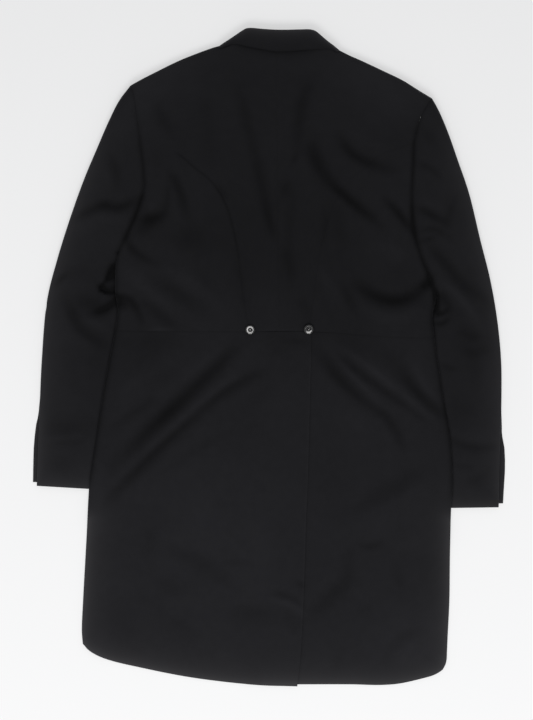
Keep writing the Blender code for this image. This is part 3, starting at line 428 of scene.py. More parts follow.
def new_material(name, shown):
    """A plain material with its colour in the viewport, its node tree and its shader."""
    made = bpy.data.materials.new(name)
    made.use_nodes = True
    made.diffuse_color = (*shown, 1.0)
    return made, made.node_tree, made.node_tree.nodes["Principled BSDF"]


def set_inputs(node, values):
    for label, value in values.items():
        node.inputs[label].default_value = value


def add_group(name, inputs, outputs):
    """A node group with named sockets, and its two ends."""
    group = bpy.data.node_groups.new(name, "ShaderNodeTree")
    for label, kind, value in inputs:
        socket = group.interface.new_socket(label, in_out="INPUT", socket_type=kind)
        if value is not None:
            socket.default_value = value
    for label, kind in outputs:
        group.interface.new_socket(label, in_out="OUTPUT", socket_type=kind)
    start = group.nodes.new("NodeGroupInput")
    end = group.nodes.new("NodeGroupOutput")
    return group, start, end


def math_node(tree, operation, *values):
    """A Math node fed with numbers and sockets."""
    node = tree.nodes.new("ShaderNodeMath")
    node.operation = operation
    for socket, value in zip(node.inputs, values):
        if isinstance(value, (int, float)):
            socket.default_value = value
        else:
            tree.links.new(value, socket)
    return node.outputs[0]


def noise_node(tree, where, scale, detail, roughness=0.5):
    node = tree.nodes.new("ShaderNodeTexNoise")
    node.noise_dimensions = "3D"
    set_inputs(node, {"Scale": scale, "Detail": detail, "Roughness": roughness})
    tree.links.new(where, node.inputs["Vector"])
    return node.outputs["Fac"]


def build_twill():
    """A worsted twill: fine slanting ribs of twisted yarn under a short nap."""
    group, start, end = add_group(
        "worsted_twill",
        (
            ("Grain", "NodeSocketVector", None),
            ("Rib Pitch", "NodeSocketFloat", 0.0011),
            ("Yarn Pitch", "NodeSocketFloat", 0.00055),
            ("Nap", "NodeSocketFloat", 0.5),
        ),
        (("Height", "NodeSocketFloat"), ("Tone", "NodeSocketFloat")),
    )
    apart = group.nodes.new("ShaderNodeSeparateXYZ")
    group.links.new(start.outputs["Grain"], apart.inputs[0])
    across = apart.outputs["X"]
    down = apart.outputs["Y"]
    slant = math_node(group, "ADD", across, math_node(group, "MULTIPLY", down, 0.62))
    turns = math_node(group, "DIVIDE", slant, start.outputs["Rib Pitch"])
    wander = math_node(group, "MULTIPLY", noise_node(group, start.outputs["Grain"], 260.0, 2.0), 0.9)
    turns = math_node(group, "ADD", turns, wander)
    rib = math_node(group, "SINE", math_node(group, "MULTIPLY", turns, 2 * math.pi))
    rib = math_node(group, "MULTIPLY_ADD", rib, 0.5, 0.5)
    yarns = math_node(group, "DIVIDE", down, start.outputs["Yarn Pitch"])
    yarn = math_node(group, "SINE", math_node(group, "MULTIPLY", yarns, 2 * math.pi))
    yarn = math_node(group, "MULTIPLY_ADD", yarn, 0.5, 0.5)
    nap = noise_node(group, start.outputs["Grain"], 1900.0, 3.0, 0.65)
    nap = math_node(group, "MULTIPLY", nap, start.outputs["Nap"])
    height = math_node(group, "MULTIPLY_ADD", rib, 0.6, math_node(group, "MULTIPLY", yarn, 0.22))
    height = math_node(group, "ADD", height, nap)
    slub = noise_node(group, start.outputs["Grain"], 70.0, 4.0, 0.6)
    tone = math_node(group, "MULTIPLY_ADD", rib, 0.16, 0.76)
    tone = math_node(group, "MULTIPLY_ADD", slub, 0.32, tone)
    group.links.new(height, end.inputs["Height"])
    group.links.new(tone, end.inputs["Tone"])
    return group


def build_lay():
    """Painted light and shade on the wool: painted shade in folds and creases, painted highlights along
    edges and ridges, and painted light that grows towards the hem.
    """
    group, start, end = add_group(
        "painted_light_and_shade",
        (
            ("Tone", "NodeSocketFloat", 1.0),
            ("Fold", "NodeSocketFloat", 0.0),
            ("Rim", "NodeSocketFloat", 0.0),
            ("Place", "NodeSocketVector", None),
            ("Black", "NodeSocketColor", (0.0102, 0.01013, 0.01168, 1.0)),
            ("Highlight", "NodeSocketColor", (0.041, 0.040, 0.0425, 1.0)),
        ),
        (("Colour", "NodeSocketColor"), ("Roughness", "NodeSocketFloat")),
    )
    broad = noise_node(group, start.outputs["Place"], 9.0, 3.0)
    broad = math_node(group, "MULTIPLY_ADD", broad, 0.24, 0.88)
    tone = math_node(group, "MULTIPLY", start.outputs["Tone"], broad)
    fold = math_node(group, "SUBTRACT", 1.0, start.outputs["Fold"])
    tone = math_node(group, "MULTIPLY", tone, math_node(group, "MAXIMUM", fold, 0.25))
    apart = group.nodes.new("ShaderNodeSeparateXYZ")
    group.links.new(start.outputs["Place"], apart.inputs[0])
    # Painted light: the cloth is painted lighter towards the hem and darker towards the collar.
    painted_light = math_node(group, "MULTIPLY_ADD", apart.outputs["Y"], -0.40, 0.92)
    tone = math_node(group, "MULTIPLY", tone, painted_light)
    scaled = group.nodes.new("ShaderNodeVectorMath")
    scaled.operation = "SCALE"
    group.links.new(start.outputs["Black"], scaled.inputs[0])
    group.links.new(tone, scaled.inputs["Scale"])
    # The rim attribute mixes in a pale colour as a painted highlight along edges and ridges.
    mixed = group.nodes.new("ShaderNodeMix")
    mixed.data_type = "RGBA"
    group.links.new(start.outputs["Rim"], mixed.inputs["Factor"])
    group.links.new(scaled.outputs[0], mixed.inputs["A"])
    group.links.new(start.outputs["Highlight"], mixed.inputs["B"])
    group.links.new(mixed.outputs["Result"], end.inputs["Colour"])
    rough = math_node(group, "MULTIPLY_ADD", start.outputs["Rim"], -0.1, 0.82)
    group.links.new(rough, end.inputs["Roughness"])
    return group


TWILL = build_twill()
LAY = build_lay()


def build_wool():
    made, tree, shader = new_material("black_worsted", (0.012, 0.012, 0.013))
    grain = tree.nodes.new("ShaderNodeUVMap")
    grain.uv_map = "grain"
    place = tree.nodes.new("ShaderNodeTexCoord")
    twill = tree.nodes.new("ShaderNodeGroup")
    twill.node_tree = TWILL
    lay = tree.nodes.new("ShaderNodeGroup")
    lay.node_tree = LAY
    tree.links.new(grain.outputs["UV"], twill.inputs["Grain"])
    tree.links.new(twill.outputs["Tone"], lay.inputs["Tone"])
    # The fold attribute brings in painted shade and painted highlight, and the rim attribute brings in
    # painted highlight.
    for label, socket in (("fold", "Fold"), ("rim", "Rim")):
        painted = tree.nodes.new("ShaderNodeAttribute")
        painted.attribute_name = label
        tree.links.new(painted.outputs["Fac"], lay.inputs[socket])
    tree.links.new(place.outputs["Object"], lay.inputs["Place"])
    tree.links.new(lay.outputs["Colour"], shader.inputs["Base Color"])
    tree.links.new(lay.outputs["Roughness"], shader.inputs["Roughness"])
    bump = tree.nodes.new("ShaderNodeBump")
    set_inputs(bump, {"Strength": 0.5, "Distance": 0.00022})
    tree.links.new(twill.outputs["Height"], bump.inputs["Height"])
    tree.links.new(bump.outputs["Normal"], shader.inputs["Normal"])
    set_inputs(shader, {"Specular IOR Level": 0.08, "Sheen Weight": 0.06, "Sheen Roughness": 0.45})
    set_inputs(shader, {"Sheen Tint": (0.55, 0.55, 0.6, 1.0)})
    return made


WOOL = build_wool()
SOFT_EDGE = 0.00028
SOFT_EDGE_ANGLE = math.radians(50)


def cut_cloth(name, grid, fold=None, rim=None):
    """One cut piece: a sheet through a grid of points, with its grain, thickness and soft edge."""
    rows, columns = grid.shape[:2]
    points = grid.reshape(-1, 3) / 1000
    index = np.arange(rows * columns).reshape(rows, columns)
    faces = np.stack([index[:-1, :-1], index[:-1, 1:], index[1:, 1:], index[1:, :-1]], axis=-1)
    mesh = bpy.data.meshes.new(name)
    mesh.from_pydata(points.tolist(), [], faces.reshape(-1, 4).tolist())
    mesh.update()
    across = np.linalg.norm(np.diff(grid, axis=1), axis=2).mean(axis=0)
    down = np.linalg.norm(np.diff(grid, axis=0), axis=2).mean(axis=1)
    u = np.concatenate([[0.0], np.cumsum(across)]) / 1000
    v = np.concatenate([[0.0], np.cumsum(down)]) / 1000
    u, v = np.meshgrid(u, -v)
    corner = np.empty(len(mesh.loops), dtype=np.int32)
    mesh.loops.foreach_get("vertex_index", corner)
    layer = mesh.uv_layers.new(name="grain")
    layer.data.foreach_set("uv", np.column_stack([u.ravel()[corner], v.ravel()[corner]]).ravel())
    # The fold attribute holds painted shade, with painted highlight where it is below nothing, and the rim
    # attribute holds painted highlight.
    for label, values in (("fold", fold), ("rim", rim)):
        values = np.zeros(rows * columns) if values is None else np.clip(values, -0.6, 0.9).ravel()
        mesh.attributes.new(label, "FLOAT", "POINT").data.foreach_set("value", values.astype(np.float32))
    mesh.polygons.foreach_set("use_smooth", [True] * len(mesh.polygons))
    mesh.materials.append(WOOL)
    item = add_object("wool_" + name, mesh)
    solid = item.modifiers.new("cloth thickness", "SOLIDIFY")
    solid.thickness = CLOTH / 1000
    solid.offset = 0.0
    soft = item.modifiers.new("soft edge", "BEVEL")
    soft.width = SOFT_EDGE
    soft.segments = 2
    soft.limit_method = "ANGLE"
    soft.angle_limit = SOFT_EDGE_ANGLE
    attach(item, "root")
    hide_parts(name)


def waist_panel(top, inner, outer):
    """A plan from the top edge down to the waist seam, which keeps the seam's narrow gap."""
    inner = inner.copy()
    bottom = inner[-1] + (outer[-1] - inner[-1]) * weights_along(top)[:, None]
    bottom[:, 1] = waist_y(bottom[:, 0])
    inner[0] = top[0]
    inner[-1] = bottom[0]
    outer[0] = top[-1]
    outer[-1] = bottom[-1]
    plan = patch(top, bottom, inner, outer)
    step = plan[-2] - plan[-1]
    size = np.linalg.norm(step, axis=-1, keepdims=True)
    plan[-1] = plan[-1] + step * np.minimum(SEAM_HALF_GAP / np.maximum(size, 1e-6), 0.9)
    return plan


PIT_GAP_REACH = 16.0
seams = {}
for side, arm, shoulder in ((-1, LEFT_ARM, LEFT_SHOULDER), (1, RIGHT_ARM, RIGHT_SHOULDER)):
    from_pit = np.linalg.norm(arm - arm[-1], axis=1)
    gap = ARMHOLE_HALF_GAP + ARMPIT_EXTRA_GAP * (1.0 - smoothstep(from_pit / PIT_GAP_REACH))
    seams["arm", side] = moved_aside(arm, -side * gap)
    seams["sleeve_hole", side] = moved_aside(arm, side * gap)
    seams["shoulder", side] = bent_line(shoulder)

UNDER_SEAM_REACH = 30.0
UNDER_SEAM_FOOT = 330.0
UNDER_SEAM_FADE = 30.0


def under_seam_shift(x, y, side):
    """The lower layers' armhole seam lies a little outside the upper one, against light from below."""
    near = 1.0 - smoothstep(distance_to(seams["arm", side][::4], x, y) / UNDER_SEAM_REACH)
    return side * UNDER_SEAM_STEP * near * smoothstep((y - UNDER_SEAM_FOOT) / UNDER_SEAM_FADE)


for side, name, edge, roll, rests_on, area in (
    (-1, "forepart_left", LEFT_SIDE, LEFT_ROLL, ["floor"], 0.0918),
    (1, "forepart_right", RIGHT_SIDE, RIGHT_ROLL, ["floor", "wool_forepart_left"], 0.0910),
):
    line = seams["shoulder", side]
    top = along(line, close_both(line_length(line), HIDDEN_STEP))
    levels = np.linspace(edge[0].y, waist_y(edge[WAIST_ROW].x), 30)[1:]
    line = np.vstack([seams["arm", side], np.column_stack([x_at(edge, levels), levels])])
    outer = along(line, close_start(line_length(line), HIDDEN_STEP))
    line = edge_line(roll)
    share = close_start(line_length(line), HIDDEN_STEP)
    front = along(line, np.interp(np.linspace(0, 1, len(outer)), np.linspace(0, 1, len(share)), share))
    plan = waist_panel(top, front, outer)
    plan[..., 0] = plan[..., 0] + under_seam_shift(plan[..., 0], plan[..., 1], side)
    height = bottom_height(plan[..., 0], plan[..., 1], side)
    cut_cloth(name, with_height(plan, height))

# The two tails are the coat's skirt: each is one piece of the same wool from the vent at the
# centre back round the side to the cut away front edge, hung from the waist seam. The left tail
# laps over the right one, and the diagonal folds are the print of the front edges underneath.

TAIL_STEP = 1.95
FLOOR_SAG = 1.3
NECK_SAG = 4.0
FOLD_DEPTH = 1.3
# FOLD_TONE scales the painted shade and painted highlight that the folds' tone gives.
FOLD_TONE = 1.9
SHOWN_STEP = 4.0
VENT_LAP = 52.0
VENT_TOP = 40.0
VENT_TOP_FADE = 70.0
VENT_HIGHLIGHT = 0.05
VENT_HIGHLIGHT_WIDE = 2.5
LAP_STEP_LEFT = 92.0
LAP_STEP_RIGHT = 40.0
LAP_STEP_FADE = 34.0

Fold = namedtuple("Fold", "x0 y0 xm ym x1 y1 width depth tone")
# Each Nap row gives a broad place of painted shade, and of painted highlight where its tone is below
# nothing.
Nap = namedtuple("Nap", "x y wide tall tone")

# The hem of each tail, from its corner to the vent.
LEFT_HEM = rows_of(
    Section,
    (-456, -295.5), (-464.2, -289), (-472.8, -276.5), (-482.5, -253), (-493.9, -205), (-506.7, -142),
    (-516, -78), (-522, -14), (-523.8, 45),
)
RIGHT_HEM = rows_of(
    Section,
    (-480, 282), (-489, 280.5), (-496, 277.2), (-505, 264), (-512.3, 240), (-519.4, 208), (-521.8, 180),
    (-520.8, 129), (-520.8, 46), (-520.8, -8),
)

# The edge of the vent on the left tail, from the waist down.
VENT_EDGE = rows_of(
    Section,
    (40, 67), (19, 67), (-116, 64), (-191, 62), (-263, 59), (-331, 57), (-409, 54), (-479, 50),
    (-524.3, 45),
)

# Folds from start through middle to end, with width and depth. Tone is the painted shade along each fold,
# and a painted highlight where it is below nothing.
BACK_FOLDS = rows_of(
    Fold,
    (-48, 432, -35, 377, -24, 329, 10, 2.0, 0.14), (-24, 335, -14, 288, -3, 238, 10, 2.4, 0.17),
    (-6, 248, 0, 219, 10, 189, 8, 1.8, 0.17), (40, 256, 33, 214, 33, 170, 8, 0.8, 0.07),
    (27, 178, 33, 151, 38, 116, 8, 1.0, 0.06), (67, 440, 51, 396, 45, 326, 10, 2.2, 0.18),
    (43, 323, 40, 315, 38, 307, 6, 1.2, 0.12), (67, 348, 76, 311, 103, 270, 12, 3.8, 0.26),
    (95, 280, 126, 251, 161, 224, 9, 3.6, 0.34), (151, 230, 169, 218, 183, 203, 8, 1.6, 0.12),
    (87, 288, 110, 259, 138, 234, 11, -1.6, -0.07), (114, 354, 140, 318, 202, 297, 9, 2.8, 0.26),
    (129, 364, 167, 339, 208, 326, 13, -1.2, -0.06), (184, 251, 207, 227, 229, 197, 7, 2.6, 0.30),
    (196, 192, 205, 170, 215, 151, 14, -0.8, -0.03), (140, 118, 200, 90, 253, 119, 11, 4.2, 0.34),
    (240, 110, 251, 118, 258, 130, 8, 3.0, 0.26), (145, 90, 192, 65, 246, 83, 14, -1.8, -0.07),
    (78, 148, 94, 122, 116, 84, 10, -1.8, -0.08), (118, 118, 127, 94, 140, 73, 8, 1.4, 0.10),
    (87, 242, 89, 211, 84, 176, 6, 0.9, 0.08), (103, 249, 110, 210, 119, 164, 11, 1.0, 0.06),
    (27, 283, 27, 269, 25, 254, 10, 1.0, 0.13), (-81, 275, -75, 264, -68, 251, 6, 0.6, 0.10),
    (22, 180, 29, 151, 35, 124, 14, 0.6, 0.08), (-14, 41, 24, 41, 60, 41, 3, 0.0, -0.12),
    (-189, 43, -172, 44, -154, 44, 3, 0.0, -0.12), (-103, 415, -99, 377, -91, 310, 11, 1.0, 0.06),
    (-178, 407, -170, 383, -154, 354, 10, 1.8, 0.14), (-180, 329, -178, 313, -176, 294, 8, 0.8, 0.06),
    (-159, 296, -143, 267, -130, 224, 8, 2.4, 0.22), (-207, 218, -186, 221, -164, 229, 10, 3.0, 0.35),
    (-216, 203, -199, 203, -176, 213, 11, 0.8, 0.16), (-167, 224, -162, 249, -161, 275, 6, 1.2, 0.12),
    (-189, 249, -186, 240, -183, 227, 8, -1.0, -0.08), (-154, 195, -126, 191, -99, 197, 21, 1.4, 0.12),
    (-224, 194, -215, 170, -180, 149, 7, 2.4, 0.24), (-231, 141, -202, 116, -154, 78, 14, -1.6, -0.11),
    (-164, 138, -119, 116, -65, 71, 13, -1.2, -0.08), (-183, 124, -148, 105, -103, 75, 13, 1.8, 0.14),
    (-205, 95, -178, 73, -145, 46, 10, 2.0, 0.16), (-240, 97, -218, 89, -202, 55, 6, 2.2, 0.27),
    (-245, 94, -235, 86, -223, 81, 9, 1.4, 0.32), (-116, 170, -110, 138, -87, 97, 13, 0.8, 0.05),
    (-52, 170, -46, 122, -37, 71, 10, 0.9, 0.06), (-11, 113, -2, 90, 5, 55, 16, -1.0, -0.04),
    (49, 97, 56, 81, 65, 62, 10, 1.0, 0.07), (164, 186, 196, 167, 224, 157, 16, -1.0, -0.06),
    (227, 249, 229, 214, 237, 173, 6, 1.0, 0.16), (240, 167, 253, 133, 264, 92, 6, 1.2, 0.10),
    (-200, 256, -211, 227, -229, 189, 6, 0.8, 0.14),
)
TAIL_FOLDS = rows_of(
    Fold,
    (-49, 21, -119, -51, -246, -173, 13, 3.2, 0.31), (-142, -70, -180, -104, -221, -145, 10, 0.8, 0.09),
    (-46, -34, -100, -65, -250, -204, 7, -2.2, -0.17), (-5, -22, -75, -57, -132, -107, 10, 2.4, 0.25),
    (-122, -99, -173, -143, -259, -231, 10, 2.6, 0.30), (-56, -116, -107, -142, -167, -181, 8, 0.8, 0.08),
    (-87, 30, -157, -24, -221, -56, 13, 0.8, 0.05), (-178, -59, -211, -86, -253, -116, 8, 1.2, 0.11),
    (-65, 27, -110, -11, -189, -69, 13, -1.0, -0.05), (-173, 11, -205, -8, -250, -24, 13, 0.8, 0.05),
    (-189, -30, -208, -40, -231, -56, 14, -1.0, -0.06), (40, -14, -30, -69, -100, -116, 14, 0.6, 0.04),
    (-11, -100, -46, -123, -103, -167, 16, 0.6, 0.04), (78, 8, 124, -46, 176, -86, 11, 2.8, 0.24),
    (170, -81, 194, -104, 211, -142, 8, 2.0, 0.20), (91, 19, 138, -35, 186, -80, 7, -1.6, -0.10),
    (113, 0, 173, -45, 256, -104, 7, 1.8, 0.17), (94, 27, 164, -18, 269, -107, 8, -1.8, -0.13),
    (183, 11, 208, -21, 226, -43, 14, 1.6, 0.12), (215, -27, 242, -61, 277, -91, 9, 2.6, 0.24),
    (227, -2, 246, -40, 269, -72, 10, -1.4, -0.10), (100, -75, 132, -100, 161, -119, 14, -0.8, -0.04),
    (24, 25, 45, 25, 65, 25, 3, 0.3, 0.08), (-17, 25, 24, 24, 62, 22, 19, 0.0, 0.11),
    (-205, 28, -173, 25, -129, 22, 21, 0.0, 0.11), (251, -172, 202, -205, 132, -243, 14, 1.8, 0.12),
    (253, -205, 202, -228, 138, -266, 14, -1.0, -0.05),
    (-157, -307, -110, -325, -52, -366, 13, 1.5, 0.12),
    (-186, -259, -189, -291, -196, -320, 11, 1.0, 0.08),
    (-173, -355, -154, -364, -129, -371, 13, 1.0, 0.08), (-75, -325, -56, -326, -30, -328, 6, 0.8, 0.09),
    (-65, -399, -33, -406, 5, -406, 16, 1.4, 0.11), (2, -374, 27, -380, 49, -391, 6, 1.6, 0.15),
    (5, -385, 30, -390, 51, -406, 6, -1.4, -0.13), (24, -404, 37, -417, 49, -437, 11, 1.2, 0.09),
    (43, -356, 51, -361, 60, -363, 6, 0.8, 0.12), (132, -350, 105, -375, 62, -417, 13, 1.8, 0.15),
    (129, -299, 127, -326, 122, -355, 10, 1.0, 0.09), (107, -339, 87, -355, 72, -371, 11, -0.8, -0.05),
    (142, -296, 161, -301, 183, -291, 6, 1.0, 0.12), (157, -275, 186, -263, 215, -247, 14, -0.8, -0.05),
    (208, -323, 205, -348, 211, -377, 11, 0.9, 0.07), (246, -437, 211, -447, 183, -488, 11, 1.6, 0.14),
    (122, -460, 110, -482, 100, -504, 10, 0.8, 0.07),
    (-110, -196, -103, -259, -91, -323, 22, -0.7, -0.03), (97, -132, 107, -196, 113, -259, 22, 0.5, 0.03),
    (-237, -323, -224, -387, -189, -450, 19, -0.6, -0.03),
    (-173, -406, -145, -422, -116, -444, 11, 0.8, 0.06), (-30, -259, -11, -291, 2, -332, 16, -0.6, -0.04),
    (148, -393, 154, -402, 161, -409, 10, 0.6, 0.06),
)
SLEEVE_FOLDS = rows_of(
    Fold,
    (-272, 116, -267, 110, -259, 103, 6, 1.5, 0.34), (-262, 105, -253, 100, -240, 96, 4, 1.0, 0.12),
    (-248, 151, -252, 136, -259, 121, 6, 1.0, 0.50), (264, 108, 266, 89, 267, 68, 5, 2.0, 0.55),
    (-310, 222, -281, 235, -251, 248, 8, 2.8, 0.27), (-267, 246, -240, 238, -205, 254, 8, 2.8, 0.29),
    (-313, 202, -262, 224, -221, 214, 11, -1.6, -0.07), (-256, 321, -245, 300, -240, 270, 8, 1.2, 0.15),
    (-340, 113, -332, 124, -320, 133, 5, 1.2, 0.30), (-329, 135, -304, 138, -278, 141, 11, 0.8, 0.07),
    (-326, 103, -316, 78, -291, 55, 8, 1.8, 0.11), (-316, 81, -301, 48, -261, 21, 9, 2.8, 0.19),
    (-313, 95, -288, 87, -262, 86, 14, 1.0, 0.18), (-281, 70, -258, 78, -240, 95, 7, 2.6, 0.44),
    (-301, 62, -275, 55, -256, 43, 8, -1.4, -0.08), (-351, 62, -335, 43, -323, 19, 13, -0.8, -0.04),
    (-329, 27, -301, 8, -275, -8, 13, 0.7, 0.04), (-358, -108, -323, -111, -278, -107, 16, 1.6, 0.12),
    (-342, -135, -320, -135, -294, -132, 5, 0.8, 0.08),
    (-342, -156, -329, -173, -316, -193, 14, 0.8, 0.06), (-320, 8, -313, -21, -310, -56, 13, 0.6, 0.05),
    (-358, -126, -329, -126, -294, -121, 6, -0.8, -0.05),
    (-275, 313, -262, 288, -256, 265, 13, -0.6, -0.04), (235, 238, 258, 227, 283, 213, 7, 2.4, 0.24),
    (281, 211, 288, 235, 299, 256, 6, 1.2, 0.12), (238, 199, 262, 203, 289, 187, 5, 1.2, 0.18),
    (237, 183, 251, 187, 266, 191, 4, 1.2, 0.18), (237, 249, 259, 246, 278, 237, 10, -1.2, -0.06),
    (235, 308, 256, 300, 275, 284, 6, 1.4, 0.15), (240, 361, 253, 351, 267, 332, 10, 1.0, 0.11),
    (256, 178, 283, 146, 316, 108, 10, 2.8, 0.24), (304, 118, 332, 102, 358, 79, 13, 2.4, 0.19),
    (307, 145, 320, 135, 332, 125, 10, 0.8, 0.08), (275, 118, 305, 94, 337, 48, 8, -1.8, -0.15),
    (273, 106, 278, 94, 288, 78, 8, 1.8, 0.22), (262, 70, 275, 70, 288, 79, 5, 1.6, 0.26),
    (261, 55, 275, 54, 288, 65, 5, 1.4, 0.22), (301, 46, 320, 35, 340, 33, 10, 1.6, 0.13),
    (307, 17, 328, 8, 348, 22, 10, 1.6, 0.14), (321, 5, 328, -24, 326, -59, 10, 0.8, 0.07),
    (270, -11, 285, -16, 299, -19, 6, 1.0, 0.09), (286, -127, 326, -143, 369, -137, 7, 1.6, 0.14),
    (288, -115, 326, -123, 361, -119, 10, -1.0, -0.05), (286, -167, 307, -173, 326, -175, 5, 0.8, 0.08),
    (313, -200, 335, -191, 358, -175, 10, 0.9, 0.10), (285, -62, 307, -78, 335, -84, 14, 0.6, 0.04),
)

# Broad places of painted shade, and of painted highlight where the tone is below nothing.
BROAD_SHADE = rows_of(
    Nap,
    (0, 180, 150, 100, 0.28), (125, 85, 70, 60, 0.16), (90, 250, 60, 60, 0.10),
    (-165, 455, 70, 42, -0.36), (-210, 400, 40, 45, -0.26), (145, 450, 70, 42, -0.34),
    (205, 405, 42, 36, -0.24), (10, 462, 60, 26, -0.10), (-268, 0, 26, 95, 0.20),
    (300, -85, 42, 75, 0.22), (320, 35, 50, 55, 0.20), (-220, 25, 42, 36, 0.18), (130, 8, 55, 40, 0.22),
    (-110, -290, 120, 170, -0.17), (-30, -330, 60, 120, -0.06), (222, -460, 50, 42, -0.30),
    (262, -310, 26, 70, 0.16), (-350, -196, 30, 16, -0.24), (320, -232, 50, 24, 0.18),
    (-230, -440, 34, 40, 0.08), (-242, 364, 25, 32, -0.13), (186, 332, 50, 28, 0.14),
    (297, 224, 25, 25, 0.12), (216, 138, 30, 55, 0.14), (25, 186, 50, 55, -0.09),
    (-129, 138, 32, 30, -0.12), (-102, 321, 55, 35, 0.08), (68, 262, 20, 50, -0.08),
    (-351, -100, 22, 40, 0.12), (-273, -215, 16, 32, -0.14), (-262, -444, 25, 32, -0.13),
    (259, 52, 14, 32, 0.12), (-199, -218, 28, 32, -0.09), (169, -418, 70, 55, -0.08),
    (-116, -352, 26, 26, 0.09), (-160, -88, 50, 22, 0.08), (297, 81, 22, 25, 0.09),
    (-126, -5, 48, 18, -0.08),
)

# The edges that carry a painted highlight, and how much: the hems, and the sides below the cuffs.
HIGHLIT_EDGES = (
    (edge_line(LEFT_HEM, 4), 1.0),
    (edge_line(RIGHT_HEM, 4), 1.0),
    (edge_line([s for s in LEFT_SIDE if s.y < -230], 4), 0.8),
    (edge_line([s for s in RIGHT_SIDE if s.y < -258], 4), 0.75),
)


def creased(folds, x, y):
    """The drop and the painted shade that a table of folds gives at each point, with painted highlight
    where the tone is below nothing.
    """
    x = np.asarray(x, dtype=float)
    y = np.asarray(y, dtype=float)
    drop = np.zeros(x.shape)
    tone = np.zeros(x.shape)
    share = np.linspace(0.0, 1.0, 13)[:, None]
    for fold in folds:
        start = np.array([fold.x0, fold.y0], dtype=float)
        end = np.array([fold.x1, fold.y1], dtype=float)
        middle = np.array([fold.xm, fold.ym], dtype=float) * 2 - (start + end) / 2
        line = (1 - share) ** 2 * start + 2 * (1 - share) * share * middle + share**2 * end
        low = line.min(axis=0) - fold.width * 3
        high = line.max(axis=0) + fold.width * 3
        near = (x > low[0]) & (x < high[0]) & (y > low[1]) & (y < high[1])
        if not near.any():
            continue
        px = x[near]
        py = y[near]
        best = np.full(px.shape, 1e9)
        where = np.zeros(px.shape)
        for i in range(len(line) - 1):
            step = line[i + 1] - line[i]
            part = ((px - line[i][0]) * step[0] + (py - line[i][1]) * step[1]) / (step @ step)
            part = np.clip(part, 0.0, 1.0)
            gone = np.hypot(px - line[i][0] - part * step[0], py - line[i][1] - part * step[1])
            nearer = gone < best
            best = np.where(nearer, gone, best)
            where = np.where(nearer, (i + part) / (len(line) - 1), where)
        taper = np.sin(np.pi * (where * 0.9 + 0.05)) ** 0.7
        shape = np.exp(-((best / fold.width) ** 2)) * taper
        drop[near] += fold.depth * FOLD_DEPTH * shape
        tone[near] += fold.tone * FOLD_TONE * shape
    return drop, tone


def broad_shade(x, y):
    """How much painted shade lies over broad places of the coat, with painted highlight where it is below
    nothing.
    """
    total = np.zeros(np.shape(x))
    for place in BROAD_SHADE:
        away = ((x - place.x) / place.wide) ** 2 + ((y - place.y) / place.tall) ** 2
        total = total + place.tone * np.exp(-away)
    return total


COCKLES = (
    (0.071, 0.043, 0.4, 0.16), (-0.052, 0.088, 1.9, 0.14), (0.128, -0.031, 3.3, 0.09),
    (0.021, 0.139, 5.1, 0.09), (-0.157, -0.062, 0.9, 0.06), (0.093, 0.181, 2.6, 0.05),
)


def cockle(x, y):
    """The small waves of cloth that hasn't been pressed since it was folded."""
    total = np.zeros(np.shape(x))
    for across, up, phase, size in COCKLES:
        total = total + size * np.sin(x * across + y * up + phase + 0.7 * np.sin(x * up - y * across))
    return total


HIGHLIGHT_NEAR = 6.0
HIGHLIGHT_FAR = 22.0


def edge_highlight(x, y, edges):
    """How strong the painted highlight is towards the edges, from 0 to 1."""
    share = np.zeros(np.shape(x))
    for line, most in edges:
        away = distance_to(line, x, y)
        pale = 0.5 * np.exp(-away / HIGHLIGHT_NEAR) + 0.5 * np.exp(-away / HIGHLIGHT_FAR)
        share = np.maximum(share, most * pale)
    return share


OPEN_MARGIN = 4.0
OPEN_FADE = 54.0
OPEN_TOP = 30.0


def covered(x, y):
    """1 where the foreparts or the tails' front edges lie beneath, 0 where only the floor does."""
    left_in = x - x_at(LEFT_CUT, y)
    right_in = x_at(RIGHT_CUT, y) - x
    depth = np.minimum(left_in, right_in)
    below = 1.0 - smoothstep((depth + OPEN_MARGIN) / OPEN_FADE)
    return np.where(np.asarray(y) > OPEN_TOP, 1.0, below)


NECK_OPEN_FOOT = 190.0
NECK_OPEN_TOP = 500.0
NECK_OPEN_FADE = 60.0
NECK_OPEN_MARGIN = 6.0
NECK_OPEN_REACH = 44.0


def neck_sag(x, y):
    """The back sinks a little into the open neck between the lapels."""
    left_in = x - x_at(LEFT_ROLL, y)
    right_in = x_at(RIGHT_ROLL, y) - x
    depth = np.minimum(left_in, right_in)
    sag = smoothstep((depth + NECK_OPEN_MARGIN) / NECK_OPEN_REACH)
    sag = sag * smoothstep((y - NECK_OPEN_FOOT) / NECK_OPEN_FADE)
    return NECK_SAG * sag * smoothstep((NECK_OPEN_TOP - y) / NECK_OPEN_FADE)


FOLDS_PAUSE_LEVEL = 38.0
FOLDS_PAUSE = 26.0
LAYERS_APART = 0.6


